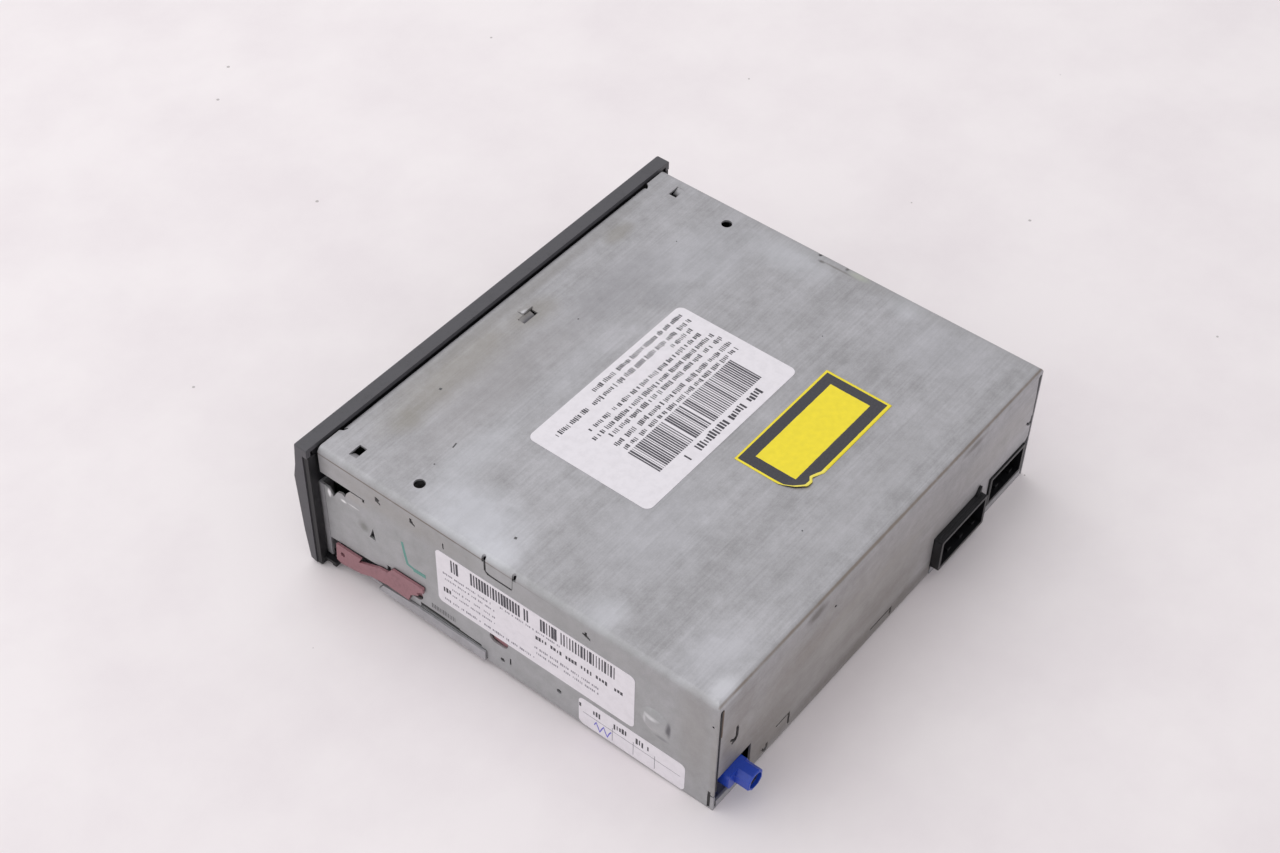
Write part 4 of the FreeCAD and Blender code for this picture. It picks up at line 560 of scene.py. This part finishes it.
meshes += [textRow(onLid(x0, topPrint["codeY"]), x1 - x0, topPrint["codeHeight"], labelInk,
                   topPrint["codeSeed"] + i, topPrint["codePitch"], 99)
           for i, (x0, x1) in enumerate(topPrint["codes"])]
joined("top_label_print", meshes, "housing")

sideText = {  # bars: first y, last y, z, height; rows the same
    "bars": [(55.6, 61.3, 36.5, 5.8), (63.9, 88.6, 36.5, 5.8), (92.4, 123.0, 36.5, 5.8)],
    "barPitch": 1.15, "barWide": 1.05, "barSeed": 60,
    "faint": [(75.8, 101.3, 32.0, 1.0), (51.9, 72.5, 30.8, 1.0), (51.9, 74.0, 28.2, 1.0),
              (55.5, 74.0, 24.9, 1.0), (55.5, 74.0, 21.9, 0.9), (51.3, 90.0, 18.0, 1.2),
              (89.7, 116.0, 23.6, 1.2), (89.7, 116.0, 21.0, 1.2)],
    "faintPitch": 0.7, "faintSeed": 70,
    "clear": [(89.3, 127.0, 28.9, 2.0), (51.9, 56.4, 22.6, 2.6)], "clearPitch": 1.2, "clearSeed": 90,
}
meshes = [barRow(onSide(y0, z), y1 - y0, height, barInk, sideText["barSeed"] + i, sideText["barPitch"],
                 sideText["barWide"]) for i, (y0, y1, z, height) in enumerate(sideText["bars"])]
meshes += [textRow(onSide(y0, z), y1 - y0, height, faintInk, sideText["faintSeed"] + i,
                   sideText["faintPitch"], 6 + i % 3)
           for i, (y0, y1, z, height) in enumerate(sideText["faint"])]
meshes += [textRow(onSide(y0, z), y1 - y0, height, labelInk, sideText["clearSeed"] + i,
                   sideText["clearPitch"], 5) for i, (y0, y1, z, height) in enumerate(sideText["clear"])]
joined("side_label_print", meshes, "housing")

testPrint = {  # a ruled table with short headings over its columns and a pen mark
    "ruleZ": 6.6, "uprights": (120.8, 129.1, 137.5), "ends": (109.0, 147.4), "bottom": 1.6, "top": 8.2,
    "ruleWidth": 0.2, "headings": [(107.9, 109.8), (113.4, 117.0), (121.6, 127.6), (130.4, 136.6)],
    "headingZ": 9.7, "headingHeight": 2.8, "headingPitch": 1.1, "headingSeed": 120,
    "pen": [(113.6 + 0.75 * i, 3.6 + 1.9 * math.sin(1.6 * i)) for i in range(10)], "penWidth": 0.42,
}
meshes = [textRow(onSide(y0, testPrint["headingZ"]), y1 - y0, testPrint["headingHeight"], labelInk,
                  testPrint["headingSeed"] + i, testPrint["headingPitch"], 99)
          for i, (y0, y1) in enumerate(testPrint["headings"])]
rules = [[(y, testPrint["ruleZ"]) for y in testPrint["ends"]]]
rules += [[(y, testPrint["bottom"]), (y, testPrint["top"])] for y in testPrint["uprights"]]
meshes += [stroke(onSide(0, 0), rule, testPrint["ruleWidth"], faintInk) for rule in rules]
meshes.append(stroke(onSide(0, 0, sidePrint + inkHeight), testPrint["pen"], testPrint["penWidth"], penInk))
joined("test_sticker_print", meshes, "housing")
print("labels printed")


# A flat shape with softened edges: an outline in the place's plane, from one height to another
def plate(place, outline, low, high, mat, soft=0.12):
    build = bmesh.new()
    rings = [[build.verts.new((u * mm, v * mm, w * mm)) for u, v in outline] for w in (low, high)]
    build.faces.new(rings[0][::-1])
    build.faces.new(rings[1])
    for i in range(len(outline)):
        j = (i + 1) % len(outline)
        build.faces.new((rings[0][i], rings[0][j], rings[1][j], rings[1][i]))
    bmesh.ops.recalc_face_normals(build, faces=build.faces)
    bmesh.ops.bevel(build, geom=build.edges[:], offset=soft * mm, segments=2, affect="EDGES", profile=0.5)
    mesh = bpy.data.meshes.new("plate")
    build.to_mesh(mesh)
    build.free()
    mesh.materials.append(mat)
    mesh.transform(place)
    return mesh


# Corners of a rectangle, for plate
def rectangle(u0, v0, u1, v1):
    return [(u0, v0), (u1, v0), (u1, v1), (u0, v1)]


sidePlane = Matrix.Translation(at(0, 0, 0)) @ sideTurn
rearPlane = Matrix.Translation(at(0, 0, 0)) @ rearTurn


# Marks on the bare sheet: a paint tick and a knurled strip on the side, dots and a scratch on the lid,
# and painted shade in its cuts, with rust-stained dirt along the rear seam

sheetMarks = {
    "tick": [(34.1, 32.4), (34.9, 27.0), (35.8, 22.6), (39.5, 21.9), (43.2, 22.2)], "tickWidth": 1.1,
    "tickFoot": [(38.2, 21.7), (43.6, 22.0)], "footWidth": 1.7,
    "dash": [(60.2, 31.9), (62.4, 32.3)], "dashWidth": 0.5,
    "dots": [(45.4, 11.5, 0.9), (-9.0, 25.1, 0.5), (78.4, 72.5, 0.9), (71.4, 32.5, 0.5), (-61.6, 26.5, 0.4),
             (20.0, 139.0, 0.5), (-55.0, 94.0, 0.4)], "dotTilt": 0.2,
    # knurl: first y, last y, z, height
    "knurl": (45.6, 56.6, 9.4, 2.4), "knurlPitch": 0.7, "knurlNarrow": 0.2, "knurlWide": 0.34,
    "knurlShort": 0.8, "knurlWander": 0.1, "knurlSeed": 3,
    # painted shade in the cuts: side lines (y, z), then rear lines (-x, z), each with its width
    "sideGaps": [([(40.4, 6.4), (48.8, 6.3), (57.3, 5.9)], 1.1), ([(57.0, 5.7), (66.4, 5.2)], 0.6),
                 ([(69.8, 50.4), (69.8, 46.2), (70.3, 45.2), (72.0, 44.6), (80.6, 44.5)], 0.5),
                 ([(80.9, 44.6), (81.2, 50.0)], 0.16), ([(24.2, 46.2), (25.4, 45.6)], 1.0),
                 ([(38.8, 46.1), (39.8, 45.6)], 1.1), ([(108.8, 46.1), (110.4, 45.5)], 0.8),
                 ([(75.4, 5.6), (76.2, 5.6)], 0.9), ([(79.0, 6.6), (79.1, 5.6)], 0.35),
                 ([(52.4, 44.2), (52.6, 42.6)], 0.4), ([(158.35, 8.6), (158.35, 0.9)], 0.95)],
    "rearGaps": [([(-88.6, 49.2), (-88.8, 30.0), (-88.9, 9.0)], 0.8),
                 ([(-79.5, 32.2), (-79.6, 28.0), (-80.4, 26.6)], 0.85),
                 ([(-80.2, 26.9), (-82.4, 26.5)], 1.1)],
    "rearRust": [([(-87.9, 49.0), (-88.1, 36.0)], 0.7)],
}
onSheet = onSide(0, 0, sideFace)
onRoof = onLid(0, 0, lidTop)
onRear = Matrix.Translation((0, (caseDepth + inkHeight / 2) * mm, 0)) @ rearPlane
onTick = onSide(0, 0, sideFace + inkHeight)
meshes = [stroke(onSheet, sheetMarks["tick"], sheetMarks["tickWidth"], tickPaint),
          stroke(onTick, sheetMarks["tickFoot"], sheetMarks["footWidth"], tickPaint),
          stroke(onRoof, sheetMarks["dash"], sheetMarks["dashWidth"], scratchDark)]
for x, y, size in sheetMarks["dots"]:
    line = [(x - size / 2, y), (x + size / 2, y + sheetMarks["dotTilt"])]
    meshes.append(stroke(onRoof, line, size, scratchDark))
y0, y1, z, height = sheetMarks["knurl"]
meshes.append(rowMesh(onSide(y0, z, sideFace), {
    "Count": int((y1 - y0) / sheetMarks["knurlPitch"]), "Pitch": sheetMarks["knurlPitch"] * mm,
    "Narrow": sheetMarks["knurlNarrow"] * mm, "Wide": sheetMarks["knurlWide"] * mm,
    "Short": sheetMarks["knurlShort"] * height * mm, "Tall": height * mm, "Thick": inkHeight * mm,
    "Wander": sheetMarks["knurlWander"] * mm, "Word": noSpaces, "Keep": 1.0, "Seed": sheetMarks["knurlSeed"],
    "Ink": scratchDark}))
# painted shade strokes over the cuts, and rust-stained dirt along the rear seam
for key, surface, ink in (("sideGaps", onSheet, gapPaintedShade), ("rearGaps", onRear, gapPaintedShade),
                          ("rearRust", onRear, rustGrime)):
    meshes += [stroke(surface, line, width, ink) for line, width in sheetMarks[key]]
joined("case_marks", meshes, "housing")

# The tongue in the roof's middle hole, bent down from its front edge: its line is (y, z)
tongue = {"from": -1.9, "to": 4.2, "soft": 0.05,
          "line": [(9.65, 51.5), (9.65, 51.95), (11.2, 51.5), (12.4, 50.7), (12.4, 50.3), (11.0, 51.05)]}
bent = plate(sidePlane, tongue["line"], tongue["from"], tongue["to"], lidZinc, tongue["soft"])
joined("roof_tongue", [bent], "housing")

# The slider's tail fills the window under the side label
tail = {"line": [(71.4, 12.4), (76.6, 11.4), (77.8, 12.0), (78.4, 17.0), (71.2, 17.0)], "inner": 88.2,
        "outer": 89.1, "soft": 0.2}
end = plate(sidePlane, tail["line"], tail["inner"], tail["outer"], leverPlastic, tail["soft"])
joined("lever_tail", [end], "lever")
print("case marked")


# The yellow film: thin, slightly rippled, its rear near corner creased, clipped and lifted

film = {
    "front": [(-42.6, 104.5), (9.1, 104.7)],
    "rear": [(-42.6, 130.6), (-4.0, 130.6), (-2.6, 129.9), (0.2, 128.9), (1.8, 130.1), (4.3, 130.0),
             (7.0, 127.2), (8.4, 124.2), (9.1, 121.8)],
    "columns": 104, "rows": 44, "gap": 0.01, "thick": 0.1,
    # the crease is where the first two times x and y reach the third; beyond it the corner curls up
    "crease": (0.66, 0.75, 95.6), "creaseReach": 4.5, "lift": 0.55, "curl": 1.6,
    "ripple": 0.05, "flatShare": 0.4, "waves": ((0.5, 0.9), (-0.2, 0.31)),
    "dent": (-0.5, 128.6), "dentSpread": 3, "dentLift": 0.15, "bareFrom": 0.72, "bareRows": 2,
}


# The y of a line of points at x
def alongLine(points, x):
    for (x0, y0), (x1, y1) in zip(points, points[1:]):
        if x <= x1:
            break
    return y0 + (y1 - y0) * (x - x0) / (x1 - x0)


# How far the film stands off the lid
def filmHeight(x, y):
    a, b, start = film["crease"]
    past = max(0.0, a * x + b * y - start) / film["creaseReach"]
    first, second = [math.sin(a * x + b * y) for a, b in film["waves"]]
    ripple = first * second + 1
    dentX, dentY = film["dent"]
    dent = math.exp(-((x - dentX) ** 2 + (y - dentY) ** 2) / film["dentSpread"])
    curled = film["lift"] * min(1.0, past) ** film["curl"]
    return curled + film["ripple"] * (film["flatShare"] * ripple + past) + film["dentLift"] * dent


build = bmesh.new()
layers = []
left, right = film["front"][0][0], film["front"][1][0]
for level in (0.0, film["thick"]):
    grid = []
    for i in range(film["columns"] + 1):
        x = left + (right - left) * i / film["columns"]
        y0, y1 = alongLine(film["front"], x), alongLine(film["rear"], x)
        ys = [y0 + (y1 - y0) * j / film["rows"] for j in range(film["rows"] + 1)]
        grid.append([build.verts.new(at(x, y, lidTop + film["gap"] + level + filmHeight(x, y))) for y in ys])
    layers.append(grid)
under, over = layers
for i in range(film["columns"]):
    for j in range(film["rows"]):
        for grid in layers:
            build.faces.new((grid[i][j], grid[i + 1][j], grid[i + 1][j + 1], grid[i][j + 1]))
columns, rows = film["columns"], film["rows"]
rim = [(i, 0) for i in range(columns)] + [(columns, j) for j in range(rows)]
rim += [(i, rows) for i in range(columns, 0, -1)] + [(0, j) for j in range(rows, 0, -1)]
for (i, j), (k, n) in zip(rim, rim[1:] + rim[:1]):  # the edge
    build.faces.new((under[i][j], under[k][n], over[k][n], over[i][j]))
bmesh.ops.recalc_face_normals(build, faces=build.faces)
build.faces.ensure_lookup_table()
# bare yellow along the clipped corner, on both layers
for i in range(int(film["bareFrom"] * columns), columns):
    for j in range(1, film["bareRows"] + 1):
        for layer in (0, 1):
            build.faces[2 * ((i + 1) * rows - j) + layer].material_index = 1
for face in build.faces:
    face.smooth = True
mesh = bpy.data.meshes.new("film")
build.to_mesh(mesh)
build.free()
mesh.materials.append(yellowFilm)
mesh.materials.append(filmRim)
piece = joined("yellow_film_label", [mesh], "housing")
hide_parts("yellow_label")
print("yellow film laid")


# Moulded detail in the two rear sockets: keyways under the rim, ribs and latches

sockets = {
    "wide": {"left": 30.1, "right": 58.3, "low": 4.2, "high": 18.3, "face": 163.2,
             "notches": (37.0, 44.5, 52.0)},
    "narrow": {"left": 64.3, "right": 86.9, "low": 5.0, "high": 18.5, "face": 160.7, "notches": (71.0, 80.0)},
}
ribs = {  # depths are from the socket's face inwards, far end first
    "wall": 1.3, "root": 0.1,
    "notchHalf": 0.8, "keyHeight": 1.5, "keyDepths": (6.5, 0.9),
    "footEnds": (1.4, 3.4), "footHeight": 1.0, "footDepths": (7.0, 1.6),
    "barEnds": 2, "barRows": (-1.3, -0.7), "barDepths": (9.0, 4.0),
    "ridgeEnds": 1, "ridgeHeight": 0.22, "ridgeWidth": 0.5, "ridgeDepths": (1.1, 2.4), "ridgeSoft": 0.08,
    "latch": [(55.2, 18.2), (57.6, 18.2), (57.6, 21.6), (57.0, 21.6)], "latchFrom": 160.05, "latchTo": 161.1,
}
for name, size in sockets.items():
    u0, u1 = size["left"] + ribs["wall"], size["right"] - ribs["wall"]
    low, top = size["low"] + ribs["wall"], size["high"] - ribs["wall"]
    middle, face, root = (low + top) / 2, size["face"], ribs["root"]
    edges = [u0] + [notch + side * ribs["notchHalf"] for notch in size["notches"] for side in (-1, 1)] + [u1]
    blocks = [(rectangle(a, top - ribs["keyHeight"], b, top + root), ribs["keyDepths"])
              for a, b in zip(edges[::2], edges[1::2])]
    a, b = ribs["footEnds"]
    blocks += [(rectangle(notch + a, low - root, notch + b, low + ribs["footHeight"]), ribs["footDepths"])
               for notch in size["notches"]]
    a, b = ribs["barRows"]
    blocks.append((rectangle(u0 + ribs["barEnds"], middle + a, u1 - ribs["barEnds"], middle + b),
                   ribs["barDepths"]))
    meshes = [plate(rearPlane, block, face - deep, face - near, socketPlastic)
              for block, (deep, near) in blocks]
    if name == "wide":  # outer ridges and the latch at the far end
        ridge = rectangle(size["left"] + ribs["ridgeEnds"], size["high"] - root,
                          size["right"] - ribs["ridgeEnds"], size["high"] + ribs["ridgeHeight"])
        meshes += [plate(rearPlane, ridge, face - depth, face - depth + ribs["ridgeWidth"], socketPlastic,
                         ribs["ridgeSoft"]) for depth in ribs["ridgeDepths"]]
        meshes.append(plate(rearPlane, ribs["latch"], ribs["latchFrom"], ribs["latchTo"], socketPlastic))
    joined(name + "_socket_ribs", meshes, "housing")
print("sockets detailed")


# The deck's four springs and its flat cable, which give as the deck floats

springs = {"spots": [(x, y, 9.35) for x in (-74.5, 74.5) for y in (70.0, 110.0)], "coil": 2.25, "wire": 0.35,
           "height": 9.3, "turns": 6.0, "steps": 20, "sides": 8, "seat": 9.0, "ear": 19.0}


# A round wire wound into an open coil, one on each point
def coilTree():
    tree = bpy.data.node_groups.new("coils", "GeometryNodeTree")
    for socket, kind in (("Spots", "Geometry"), ("Coil", "Float"), ("Wire", "Float"), ("Height", "Float"),
                         ("Turns", "Float"), ("Finish", "Material")):
        tree.interface.new_socket(name=socket, in_out="INPUT", socket_type="NodeSocket" + kind)
    tree.interface.new_socket(name="Geometry", in_out="OUTPUT", socket_type="NodeSocketGeometry")
    given = addNode(tree, "NodeGroupInput").outputs
    helix = addNode(tree, "GeometryNodeCurveSpiral", {
        "Resolution": springs["steps"], "Rotations": given["Turns"], "Start Radius": given["Coil"],
        "End Radius": given["Coil"], "Height": given["Height"]}).outputs[0]
    section = addNode(tree, "GeometryNodeCurvePrimitiveCircle", {
        "Resolution": springs["sides"], "Radius": given["Wire"]}).outputs[0]
    wound = addNode(tree, "GeometryNodeCurveToMesh", {
        "Curve": helix, "Profile Curve": section, "Fill Caps": True}).outputs[0]
    coils = addNode(tree, "GeometryNodeInstanceOnPoints", {"Points": given["Spots"], "Instance": wound})
    real = addNode(tree, "GeometryNodeRealizeInstances", {0: coils.outputs[0]}).outputs[0]
    plated = addNode(tree, "GeometryNodeSetMaterial", {"Geometry": real, "Material": given["Finish"]})
    addNode(tree, "NodeGroupOutput", {0: plated.outputs[0]})
    return tree


wire = rowMesh(Matrix(), {
    "Coil": springs["coil"] * mm, "Wire": springs["wire"] * mm, "Finish": nickelPlate,
    "Height": springs["height"] * mm, "Turns": springs["turns"]}, coilTree(), springs["spots"])
piece = joined("deck_spring_coils", [wire], None)
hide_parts("deck_springs")
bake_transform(piece)

ribbon = {"front": 98.0, "bend": 110.0, "low": 7.0, "high": 13.1, "thick": 0.25, "half": 11.0, "arcStep": 15,
          "soft": 0.04}
middle = (ribbon["low"] + ribbon["high"]) / 2
arc = [math.radians(turn) for turn in range(-90, 91, ribbon["arcStep"])]
outline = []
for radius, way in ((ribbon["high"] - middle, 1), (ribbon["high"] - middle - ribbon["thick"], -1)):
    run = [(ribbon["bend"] + radius * math.cos(turn), middle + radius * math.sin(turn)) for turn in arc]
    outline += [(ribbon["front"], middle - radius), *run, (ribbon["front"], middle + radius)][::way]
loop = plate(sidePlane, outline, -ribbon["half"], ribbon["half"], cableFilm, ribbon["soft"])
piece = joined("ribbon_cable", [loop], None)
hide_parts("flat_cable")
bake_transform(piece)
print("springs and cable strung")


# Camera, floor and light

view = {"eye": (388.27, 356.44, 544.24), "right": (-0.62215, 0.78270, 0.01794),
        "forward": (-0.54709, -0.41824, -0.72510), "lens": 59.05, "sensor": 36.0}
camera = bpy.data.cameras.new("camera")
camera.lens = view["lens"]
camera.sensor_width = view["sensor"]
eye = bpy.data.objects.new("camera", camera)
scene.collection.objects.link(eye)
right = Vector(view["right"]).normalized()
forward = Vector(view["forward"]).normalized()
look = Matrix((right, right.cross(forward), -forward)).transposed().to_4x4()
eye.matrix_world = Matrix.Translation(at(*view["eye"])) @ look
scene.camera = eye

# The case leans back: it stands on the bezel's lower edge and on its own rear edge
ground = {"bezelDrop": 4.0, "span": 162.0, "bezelY": -2.0, "reach": 4.0,  # reach in m, the rest in mm
          "dark": "#ECE5E7", "light": "#F2ECED", "cloudWidth": 71.43, "cloudEnds": (0.35, 0.6),
          "speck": "#8F8886", "speckSpacing": 21.0, "speckSize": 0.75, "speckFloor": 0.55, "speckDepth": 0.6}
reach = ground["reach"]
floorMesh = bpy.data.meshes.new("floor")
floorMesh.from_pydata([(-reach, -reach, 0), (reach, -reach, 0), (reach, reach, 0), (-reach, reach, 0)],
                      [], [(0, 1, 2, 3)])
floor = bpy.data.objects.new("floor", floorMesh)
scene.collection.objects.link(floor)
lean = math.atan2(ground["bezelDrop"], ground["span"])
bezelFoot = at(0, ground["bezelY"], -ground["bezelDrop"])
floor.matrix_world = Matrix.Translation(bezelFoot) @ Matrix.Rotation(lean, 4, "X")
# Matte board as a table top: nearly white, very slightly uneven
floorMat, tree, shader = newMaterial("tableBoard", Roughness=0.8)
place = addNode(tree, "ShaderNodeTexCoord").outputs["Object"]
uneven = addNode(tree, "ShaderNodeTexNoise", {
    "Vector": place, "Scale": 1 / (ground["cloudWidth"] * mm), "Detail": 6.0, "Roughness": 0.6}).outputs[0]
shades = zip(ground["cloudEnds"], (colour(ground["dark"]), colour(ground["light"])))
base = addNode(tree, "ShaderNodeValToRGB", {0: uneven}, list(shades))
# a few specks of grit, one in some cells of a coarse grid
cells = addNode(tree, "ShaderNodeTexVoronoi", {"Vector": place, "Scale": 1 / (ground["speckSpacing"] * mm)})
chance = addNode(tree, "ShaderNodeSeparateXYZ", {0: cells.outputs["Color"]}).outputs[0]
size = addNode(tree, "ShaderNodeMath", {0: chance, 1: ground["speckSize"] / ground["speckSpacing"]},
               operation="MULTIPLY").outputs[0]
near = addNode(tree, "ShaderNodeMath", {0: cells.outputs["Distance"], 1: size}, operation="LESS_THAN")
kept = addNode(tree, "ShaderNodeMath", {0: chance, 1: ground["speckFloor"]}, operation="GREATER_THAN")
speck = addNode(tree, "ShaderNodeMath", {0: near.outputs[0], 1: kept.outputs[0]},
                operation="MULTIPLY").outputs[0]
speck = addNode(tree, "ShaderNodeMath", {0: speck, 1: ground["speckDepth"]}, operation="MULTIPLY").outputs[0]
gritty = addNode(tree, "ShaderNodeMix", {0: speck, 6: base.outputs[0], 7: colour(ground["speck"])},
                 data_type="RGBA").outputs[2]
tree.links.new(gritty, shader.inputs["Base Color"])
floorMesh.materials.append(floorMat)

sky = {"code": "#F7F6F8", "strength": 0.79}
world = bpy.data.worlds.new("studio")
scene.world = world
world.use_nodes = True
world.node_tree.nodes["Background"].inputs["Color"].default_value = colour(sky["code"])
world.node_tree.nodes["Background"].inputs["Strength"].default_value = sky["strength"]

lamps = {  # place and aim in m, size in m, power in W
    "overhead": ((0.1, -0.9, 1.4), (0, -0.1, 0), 1.8, 9.0),
    "side": ((1.6, -0.7, 0.8), (0, 0, 0.03), 1.4, 4.0),
}
for name, (spot, aim, size, power) in lamps.items():
    data = bpy.data.lights.new(name, "AREA")
    data.size = size
    data.energy = power
    lamp = bpy.data.objects.new(name, data)
    scene.collection.objects.link(lamp)
    lamp.location = spot
    lamp.rotation_euler = (Vector(aim) - Vector(spot)).to_track_quat("-Z", "Y").to_euler()

scene.view_settings.view_transform = "Standard"
print("camera, floor and lamps set")
